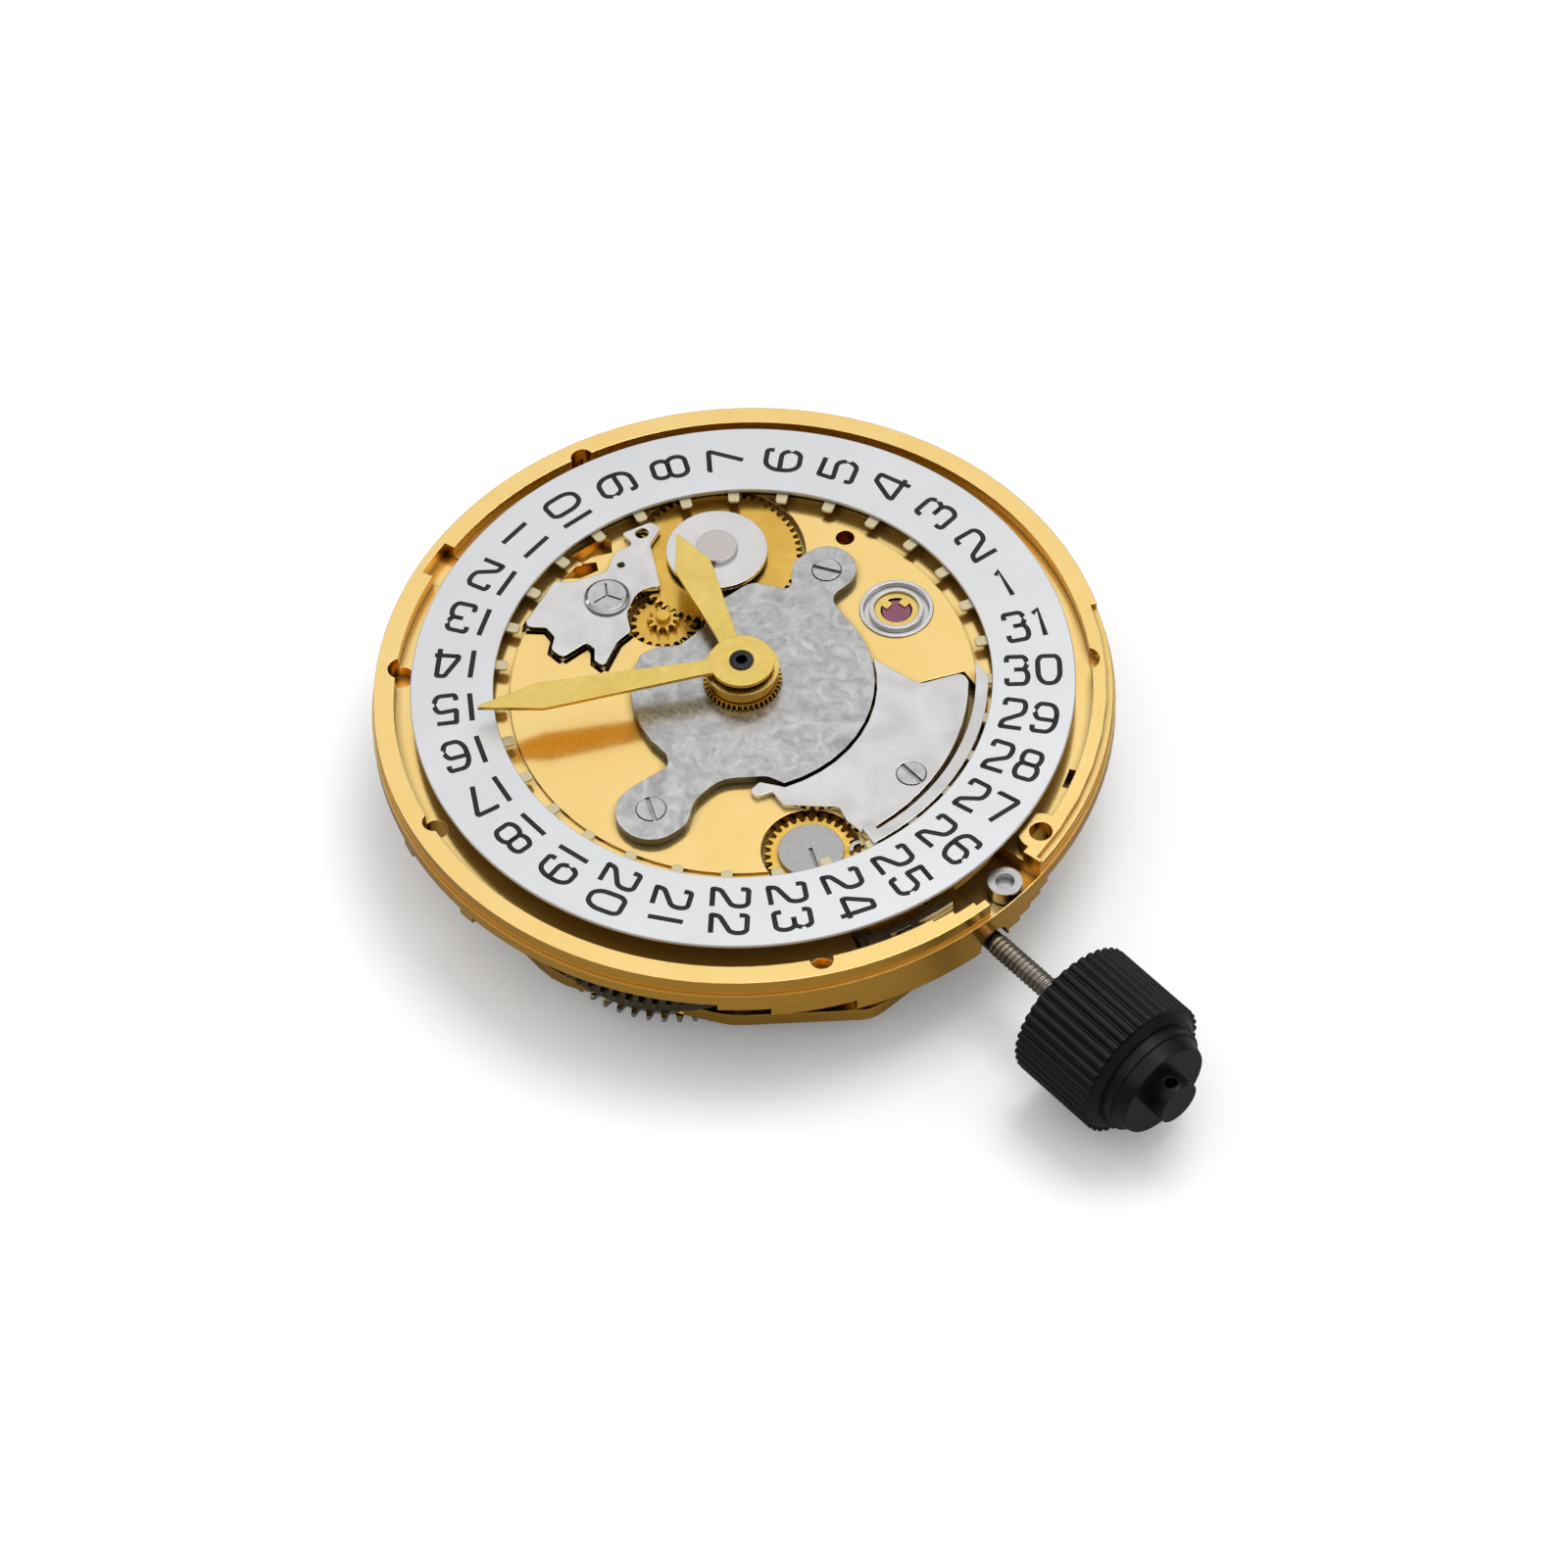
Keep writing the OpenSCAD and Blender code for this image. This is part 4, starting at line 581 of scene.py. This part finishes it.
# %% Dress the frame
finish = {
    gilt: ["mainplate", "pallet_bridge", "balance_cock", "barrel_bridge", "train_bridge",
           "automatic_bridge"],
    gilt_gear: ["intermediate_date_wheel", "hour_wheel", "minute_wheel", "setting_wheel",
                "centre_wheel", "third_wheel", "fourth_wheel", "reduction_wheel"],
    date_gear: ["date_wheel"],
    # painted shade: the barrel is darkened for the shadow under the flange
    barrel_shade_tone: ["barrel", "barrel_cover"],
    hand_gilt: ["hour_hand", "minute_hand"],
    pale_gilt: ["shock_spring", "balance_wheel"],
    cover_steel: ["centre_cover_plate"],
    polished: ["calendar_plate", "date_wheel_cover", "shock_block", "lever_spring",
               "escape_wheel", "pallet_fork", "ratchet_wheel", "crown_wheel", "rotor"],
    screw_steel: ["centre_cover_screws", "calendar_plate_screw", "date_wheel_cover_screw",
                  "bridge_screws", "crown_wheel_screw", "rotor_screw"],
    date_disc: ["date_wheel_disc"],
    steel: ["corrector_spring", "setting_lever", "yoke", "winding_pinion", "sliding_pinion",
            "winding_face_gear", "barrel_arbor", "mainspring", "hairspring", "click",
            "rotor_gear", "reversing_wheel", "rotor_bearing", "rotor_bearing_inner"],
    dark_steel: ["stem"],
    cannon_steel: ["cannon_pinion"],
    ring_paint: ["date_ring"],
    corrector_metal: ["corrector_wheel"],
    ruby: ["shock_jewel", "jewels"],
    black_plastic: ["knob"],
}
for material, names in finish.items():
    for name in names:
        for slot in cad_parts[name].material_slots:
            slot.material = material
print("dressed nodes:", sum(map(len, finish.values())), "of", len(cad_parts))

# %% [markdown]
# ## Date ring
# The ring is stamped from thin sheet: a printed band, a low foot on which it slides, and
# thirty-one teeth under the inner edge. The frame's ring is a stout version of it. This one is
# turned on a lathe in code: a profile of radius and height, in mm, goes once round the axis.
# Blender's Screw modifier could do that too, but points made here are exact and need no clean-up.

# %% Ring profile
DAYS = 31
DAY_STEP = 360 / DAYS
RING_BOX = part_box("date_ring")
RING_TOP = RING_BOX[1][2]
TOP_Z, FOOT_Z = RING_TOP / MM, RING_BOX[0][2] / MM
BAND_IN, BAND_OUT, BAND_T = 8.70, 11.60, 0.12
FOOT_IN, FOOT_OUT = 9.0, 9.55
INNER_BREAK, OUTER_BREAK = 0.02, 0.03
UNDER_Z = TOP_Z - BAND_T
RING_PROFILE = [
    (BAND_IN + INNER_BREAK, TOP_Z), (BAND_OUT - OUTER_BREAK, TOP_Z),
    (BAND_OUT, TOP_Z - OUTER_BREAK), (BAND_OUT, UNDER_Z),
    (FOOT_OUT, UNDER_Z), (FOOT_OUT, FOOT_Z), (FOOT_IN, FOOT_Z), (FOOT_IN, UNDER_Z),
    (BAND_IN, UNDER_Z), (BAND_IN, TOP_Z - INNER_BREAK),
]
print("ring profile points:", len(RING_PROFILE))

# %% [markdown]
# A closed profile that is spun gives the band. Each tooth is a prism: a flat outline, with its
# corners broken, between two heights. The first tooth stands 1.8 degrees from the stem. The last
# helper turns such a grid into a piece, smooth on its curves and sharp at its corners.


# %% Spin, prism and finish
def spin(grid, profile, around=240):
    loops = []
    for k in range(around):
        a = 2 * math.pi * k / around
        loops.append([grid.verts.new((r * math.cos(a) * MM, r * math.sin(a) * MM, z * MM))
                      for r, z in profile])
    for k in range(around):
        here, ahead = loops[k], loops[(k + 1) % around]
        for j in range(len(profile)):
            m = (j + 1) % len(profile)
            grid.faces.new((here[j], here[m], ahead[m], ahead[j]))


def prism(grid, outline, bottom, top, turn=0.0):
    rows = []
    for z in (bottom, top):
        row = []
        for x, y in outline:
            spot = Matrix.Rotation(turn, 2) @ Vector((x, y))
            row.append(grid.verts.new((spot.x * MM, spot.y * MM, z * MM)))
        rows.append(row)
    for j in range(len(outline)):
        m = (j + 1) % len(outline)
        grid.faces.new((rows[0][j], rows[0][m], rows[1][m], rows[1][j]))
    grid.faces.new(rows[0][::-1])
    grid.faces.new(rows[1])


def finish_mesh(name, grid, material, smooth_below=30):
    bmesh.ops.recalc_face_normals(grid, faces=grid.faces)
    limit = math.radians(smooth_below)
    for edge in grid.edges:
        edge.smooth = len(edge.link_faces) == 2 and edge.calc_face_angle(0) < limit
    for face in grid.faces:
        face.smooth = True
    shape = bpy.data.meshes.new(name)
    grid.to_mesh(shape)
    grid.free()
    shape.materials.append(material)
    piece = bpy.data.objects.new(name, shape)
    bpy.context.collection.objects.link(piece)
    return piece


TOOTH = [(9.05, 0.20), (8.36, 0.20), (8.28, 0.12), (8.28, -0.12), (8.36, -0.20), (9.05, -0.20)]
TOOTH_BOTTOM, TOOTH_TOP = 0.085, 0.175
FIRST_TOOTH = 1.8
grid = bmesh.new()
spin(grid, RING_PROFILE)
for i in range(DAYS):
    prism(grid, TOOTH, TOOTH_BOTTOM, TOOTH_TOP, math.radians(FIRST_TOOTH + i * DAY_STEP))
ring = finish_mesh("thin_date_ring", grid, ring_paint)
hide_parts("date_ring")
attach(ring, "date_ring")
print("ring faces:", len(ring.data.polygons))

# %% [markdown]
# ## Milled edges of the mainplate
# A cutter has run round the polished covers on the plate and left narrow grooves, which look like
# dark outlines, and the flange is turned back from below except at two lugs. Dark paint could
# fake the grooves from one side only. These cuts are too fine to matter for the motion, so they
# are made here, in a copy of the plate that stands for it. First the outlines, in mm.

# %% Outlines of the covers
CALENDAR_R = 7.87
CALENDAR_EDGE = [(7.76, -1.30)] + [
    (CALENDAR_R * math.cos(math.radians(a)), CALENDAR_R * math.sin(math.radians(a)))
    for a in range(-6, 49, 6)
] + [(4.88, 6.0), (4.25, 4.6)]
DATE_COVER_EDGE = [
    (-7.8, 2.48), (-7.35, 2.5), (-7.05, 1.75), (-5.3, 0.75), (-5.75, 0.1), (-5.15, -0.95),
    (-4.45, -1.35), (-4.4, -2.0), (-3.85, -3.1), (-4.3, -3.15), (-4.7, -2.8), (-5.1, -2.85),
    (-5.15, -3.9), (-5.7, -3.95), (-6.05, -3.5), (-6.6, -3.45), (-7.1, -3.95), (-7.3, -3.75),
    (-8.0, -1.9),
]
print("points along the cover edges:", len(CALENDAR_EDGE) + len(DATE_COVER_EDGE))

# %% [markdown]
# Each cut is a closed prism that starts well above the plate. A groove is a strip along the
# outside of an edge, so it needs a point inside the cover to know which side that is. The long
# edge of the date cover is cut in short pieces, because a strip that turned too far would cross
# itself.

# %% Grooves
CLEAR_Z = 0.6
CALENDAR_CUT = {"inside": (5.5, 1.5), "width": 0.24, "bottom": -0.62}
DATE_COVER_CUT = {"inside": (-6.2, -1.0), "width": 0.16, "bottom": -0.52}


def groove(grid, edge, inside, width, bottom):
    """A strip of the given width outside an open line of points, as one closed prism."""
    points = [Vector(p) for p in edge]
    middle = Vector(inside)
    outer = []
    for i, here in enumerate(points):
        ahead = points[min(i + 1, len(points) - 1)] - points[max(i - 1, 0)]
        side = Vector((ahead.y, -ahead.x)).normalized()
        if side.dot(here - middle) < 0:
            side = -side
        outer.append(here + side * width)
    outline = [tuple(v) for v in points] + [tuple(v) for v in reversed(outer)]
    prism(grid, outline, bottom, CLEAR_Z)


def cutter_object(name, grid):
    bmesh.ops.recalc_face_normals(grid, faces=grid.faces)
    bmesh.ops.triangulate(grid, faces=grid.faces)
    shape = bpy.data.meshes.new(name)
    grid.to_mesh(shape)
    grid.free()
    cutter = bpy.data.objects.new(name, shape)
    bpy.context.collection.objects.link(cutter)
    return cutter


grooves = bmesh.new()
groove(grooves, CALENDAR_EDGE, **CALENDAR_CUT)
for start in range(0, len(DATE_COVER_EDGE) - 2, 2):
    groove(grooves, DATE_COVER_EDGE[start:start + 3], **DATE_COVER_CUT)
groove_cutter = cutter_object("grooves", grooves)
print("groove cutter faces:", len(groove_cutter.data.polygons))

# %% [markdown]
# The second cutter holds what doesn't touch the grooves: the turned-back underside of the flange,
# in three spans that leave the lugs standing, two pockets beside the date cover, and room in the
# wall for the setting lever's arm, which swings there when the stem is pulled out.

# %% Under cuts
FLANGE_IN, FLANGE_OUT = 12.74, 13.3
FLANGE_BOTTOM, FLANGE_TOP = -1.8, -1.12
FLANGE_SPANS = ((12, 254.7), (257.5, 270.7), (273.5, 315))
DEGREES_A_STEP = 3
POCKETS = [
    [(-8.68, -0.54), (-8.63, 0.87), (-8.3, 0.98), (-7.8, 0.6), (-8.1, 0.0), (-8.25, -0.45)],
    [(-8.1, -1.5), (-8.25, -0.7), (-7.85, -0.1), (-7.5, -0.29), (-7.65, -1.0)],
]
POCKET_BOTTOM = -0.8
LEVER_ROOM = [(12.31, 0.293), (12.807, 0.293), (12.807, 0.747), (12.31, 0.747)]
LEVER_BOTTOM, LEVER_TOP = -1.733, -1.383


def flange_cut(grid, first, last):
    steps = max(2, int((last - first) / DEGREES_A_STEP))
    angles = [math.radians(first + (last - first) * k / steps) for k in range(steps + 1)]
    outline = [(FLANGE_IN * math.cos(a), FLANGE_IN * math.sin(a)) for a in angles]
    outline += [(FLANGE_OUT * math.cos(a), FLANGE_OUT * math.sin(a)) for a in reversed(angles)]
    prism(grid, outline, FLANGE_BOTTOM, FLANGE_TOP)


under_cuts = bmesh.new()
for first, last in FLANGE_SPANS:
    flange_cut(under_cuts, first, last)
for pocket in POCKETS:
    prism(under_cuts, pocket, POCKET_BOTTOM, CLEAR_Z)
prism(under_cuts, LEVER_ROOM, LEVER_BOTTOM, LEVER_TOP)
under_cutter = cutter_object("under_cuts", under_cuts)
print("under cutter faces:", len(under_cutter.data.polygons))

# %% [markdown]
# Two Boolean modifiers take the cutters away from a copy of the plate's mesh. The exact solver is
# slower than the fast one, but it copes with faces that meet at grazing angles. The cutters and
# the copy are then no longer needed, and only the milled plate stays.

# %% Cut the plate
cutters = [groove_cutter, under_cutter]
blank = bpy.data.objects.new("milled_mainplate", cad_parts["mainplate"].data.copy())
bpy.context.collection.objects.link(blank)
for cutter in cutters:
    cut = blank.modifiers.new(cutter.name, "BOOLEAN")
    cut.operation = "DIFFERENCE"
    cut.solver = "EXACT"
    cut.use_self = True
    cut.object = cutter


def final_shape(holder):
    """The mesh of an object with its modifiers, or of a curve with its bevel."""
    bpy.context.view_layer.update()
    graph = bpy.context.evaluated_depsgraph_get()
    return bpy.data.meshes.new_from_object(holder.evaluated_get(graph))


grid = bmesh.new()
grid.from_mesh(final_shape(blank))
for used in [blank] + cutters:
    bpy.data.objects.remove(used)
plate = finish_mesh("milled_mainplate", grid, gilt, smooth_below=25)
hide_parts("mainplate")
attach(plate, "frame")
print("milled plate faces:", len(plate.data.polygons))

# %% [markdown]
# ## Printed dates
# Thirty-one numbers are printed round the ring with a pad, in a squarish hand with round corners
# and one stroke width. No font has quite these forms, so each figure is written as pen strokes:
# a short list of points with a corner radius at each, in a box one unit wide and one high.

# %% Figures as pen strokes
FIGURES = {
    "0": [[(0.5, 1, 0), (1, 1, 0.42), (1, 0, 0.42), (0, 0, 0.42), (0, 1, 0.42), (0.5, 1, 0)]],
    "1": [[(0.5, 1, 0), (0.5, 0, 0)]],
    "2": [[(0.02, 0.78, 0), (0.02, 1, 0.34), (1, 1, 0.40), (1, 0.56, 0.26), (0.06, 0.22, 0.25),
           (0.0, 0, 0.02), (1, 0, 0)]],
    "3": [[(0.02, 0.80, 0), (0.02, 1, 0.34), (0.97, 1, 0.38), (0.97, 0.53, 0.30),
           (0.36, 0.53, 0)],
          [(0.5, 0.53, 0), (1, 0.53, 0.32), (1, 0, 0.40), (0.0, 0, 0.38), (0, 0.22, 0)]],
    "4": [[(1.12, 0.24, 0), (0, 0.24, 0.04), (0.02, 0.36, 0.1), (0.54, 1, 0.16),
           (0.90, 1, 0.06), (0.90, 0, 0)]],
    "5": [[(0.95, 1, 0), (0.06, 1, 0.03), (0.02, 0.55, 0.05), (1, 0.62, 0.36), (1, 0, 0.42),
           (0.0, 0, 0.38), (0, 0.2, 0)]],
    "6": [[(1, 0.80, 0), (1, 1, 0.30), (0, 1, 0.42), (0, 0, 0.40), (1, 0, 0.40),
           (1, 0.56, 0.34), (0.0, 0.56, 0.12), (0, 0.4, 0)]],
    "7": [[(0.0, 0.92, 0), (0.0, 1, 0.03), (1, 1, 0.05), (0.44, 0, 0)]],
    "8": [[(0.5, 0.53, 0), (0.06, 0.53, 0.28), (0.06, 1, 0.34), (0.94, 1, 0.34),
           (0.94, 0.53, 0.28), (0.5, 0.53, 0)],
          [(0.5, 0.53, 0), (0, 0.53, 0.32), (0, 0, 0.36), (1, 0, 0.36), (1, 0.53, 0.32),
           (0.5, 0.53, 0)]],
    "9": [[(0, 0.20, 0), (0, 0, 0.30), (1, 0, 0.42), (1, 1, 0.40), (0, 1, 0.40),
           (0, 0.44, 0.34), (1.0, 0.44, 0.12), (1, 0.6, 0)]],
}
ONE_WITH_FLAG = [(0.18, 0.86, 0), (0.5, 1.0, 0), (0.5, 0.0, 0)]
print("strokes in all figures:", sum(len(s) for s in FIGURES.values()))

# %% [markdown]
# A corner with a radius becomes an arc that touches both sides. It may use up at most half of
# each side, so that two round corners can share one.

# %% Round corners
SLACK = 0.001


def rounded(points, steps=6):
    path = []
    for i, (x, y, radius) in enumerate(points):
        here = Vector((x, y))
        if radius == 0 or i in (0, len(points) - 1):
            path.append(here)
            continue
        back = Vector(points[i - 1][:2]) - here
        ahead = Vector(points[i + 1][:2]) - here
        half = back.angle(ahead) / 2
        longest = min(back.length * 0.5 + SLACK, ahead.length * 0.5 + SLACK)
        leg = min(radius / math.tan(half), longest)
        reach = leg * math.tan(half)
        inward = (back.normalized() + ahead.normalized()).normalized()
        middle = here + inward * (reach / math.sin(half))
        start = here + back.normalized() * leg - middle
        sweep = start.angle_signed(here + ahead.normalized() * leg - middle)
        for k in range(steps + 1):
            arm = start.copy()
            arm.rotate(Matrix.Rotation(-sweep * k / steps, 2))
            path.append(middle + arm)
    return path


print("points on a rounded zero:", len(rounded(FIGURES["0"][0])))

# %% [markdown]
# Every number reads from the centre outwards, and two figures are set closer and narrower than
# one alone. A lone one, and the one of thirty-one, has a flag. A layout row is the figure, its
# middle and its width in mm. The stroke is a flattened tube, which gives the slightly swollen
# edge that ink has. Day 26 stands three degrees from the stem, and all the others follow from it.

# %% Write a number
PEN = 0.092 * MM
FIGURE_H = 1.22 * MM
PRINT_R = 10.12 * MM
INK_FLAT = 0.08
MARK_DAY, MARK_TURN = 26, 3.0


def figure_layout(day):
    text = str(day)
    if len(text) == 1:
        return [(text, 0.0, 0.92 if text != "1" else 0.5)]
    if text == "11":
        return [("1", -0.52, 0.7), ("1", 0.52, 0.7)]
    if text[0] == "1":
        return [("1", -0.62, 0.7), (text[1], 0.26, 0.76)]
    if text[1] == "1":
        return [(text[0], -0.31, 0.72), ("1", 0.60, 0.7)]
    return [(text[0], -0.56, 0.74), (text[1], 0.55, 0.76)]


def write_day(day):
    pen = bpy.data.curves.new("pen", "CURVE")
    pen.dimensions = "3D"
    pen.bevel_depth = PEN
    pen.bevel_resolution = 2
    pen.use_fill_caps = True
    for figure, middle, width in figure_layout(day):
        strokes = FIGURES[figure]
        if figure == "1" and day in (1, DAYS):
            strokes = [ONE_WITH_FLAG]
        for line in map(rounded, strokes):
            spline = pen.splines.new("POLY")
            spline.points.add(len(line) - 1)
            for point, p in zip(spline.points, line):
                x = middle * MM + (p.x - 0.5) * width * MM
                point.co = (x, (p.y - 0.5) * FIGURE_H, 0, 1)
    holder = bpy.data.objects.new("date_%d" % day, pen)
    bpy.context.collection.objects.link(holder)
    turn = math.radians(MARK_TURN + (day - MARK_DAY) * DAY_STEP)
    holder.matrix_world = (Matrix.Rotation(turn, 4, "Z")
                           @ Matrix.Translation((PRINT_R, 0, RING_TOP))
                           @ Matrix.Diagonal((1, 1, INK_FLAT, 1)))
    return holder


def to_print(holder):
    shape = final_shape(holder)
    shape.transform(holder.matrix_world)
    piece = bpy.data.objects.new(holder.name + "_print", shape)
    bpy.context.collection.objects.link(piece)
    bpy.data.objects.remove(holder)
    return piece


prints = [to_print(write_day(day)) for day in range(1, DAYS + 1)]
print("numbers written:", len(prints))

# %% [markdown]
# All numbers are one print on the real ring, so they are joined into one piece, and it rides the
# ring's body.

# %% Join the dates
with bpy.context.temp_override(active_object=prints[0], selected_editable_objects=prints):
    bpy.ops.object.join()
dates = prints[0]
dates.name = "printed_dates"
dates.data.materials.clear()
dates.data.materials.append(numeral_ink)
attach(dates, "date_ring")
print("date print vertices:", len(dates.data.vertices))

# %% [markdown]
# ## Thread of the stem
# The stem between the plate and the knob is threaded, so that it can be cut to length for the
# case. A bump would leave its outline straight. A thread is one ridge that climbs along a helix,
# so it is written out as rings of points whose radius swells once a turn.

# %% Thread
THREAD_START, THREAD_END = 13.1, 16.75
THREAD_ROOT_R, THREAD_TIP_R = 0.36, 0.405
THREAD_PITCH = 0.2


def helix_sleeve(x0, x1, root_r, tip_r, pitch, axis_z, sides=40, per_turn=8):
    grid = bmesh.new()
    rows = int((x1 - x0) / pitch * per_turn)
    rings = []
    for i in range(rows + 1):
        x = x0 + (x1 - x0) * i / rows
        row = []
        for j in range(sides):
            a = 2 * math.pi * j / sides
            phase = ((x - x0) / pitch + j / sides) % 1.0
            ridge = 0.5 - 0.5 * math.cos(2 * math.pi * phase)
            r = root_r if i in (0, rows) else root_r + (tip_r - root_r) * ridge
            spot = (x * MM, r * math.cos(a) * MM, (axis_z + r * math.sin(a)) * MM)
            row.append(grid.verts.new(spot))
        rings.append(row)
    for here, ahead in zip(rings, rings[1:]):
        for j in range(sides):
            k = (j + 1) % sides
            grid.faces.new((here[j], here[k], ahead[k], ahead[j]))
    grid.faces.new(rings[0][::-1])
    grid.faces.new(rings[-1])
    return grid


stem_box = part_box("stem")
stem_z = (stem_box[0][2] + stem_box[1][2]) / 2 / MM
sleeve = helix_sleeve(THREAD_START, THREAD_END, THREAD_ROOT_R, THREAD_TIP_R, THREAD_PITCH, stem_z)
thread = finish_mesh("stem_thread", sleeve, dark_steel, smooth_below=180)
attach(thread, "stem")
print("thread turns:", round((THREAD_END - THREAD_START) / THREAD_PITCH, 1))

# %% [markdown]
# ## Slim stem
# The frame's stem is a stout rod outside the plate, which is what the joint test wants. The real
# one is thinner there. So a copy stands for it, with the points of its outer stretch brought in
# to a smaller radius, as a lathe would turn it down.

# %% Slim stem
SLIM_FROM, SLIM_R = 12.1, 0.365
slim_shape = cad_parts["stem"].data.copy()
turned = 0
for point in slim_shape.vertices:
    across = Vector((point.co.y, point.co.z - stem_z * MM))
    if point.co.x > SLIM_FROM * MM and across.length > SLIM_R * MM:
        across = across.normalized() * SLIM_R * MM
        point.co.y, point.co.z = across.x, across.y + stem_z * MM
        turned += 1
slim_stem = bpy.data.objects.new("slim_stem", slim_shape)
bpy.context.collection.objects.link(slim_stem)
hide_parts("stem")
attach(slim_stem, "stem")
print("points turned down:", turned)
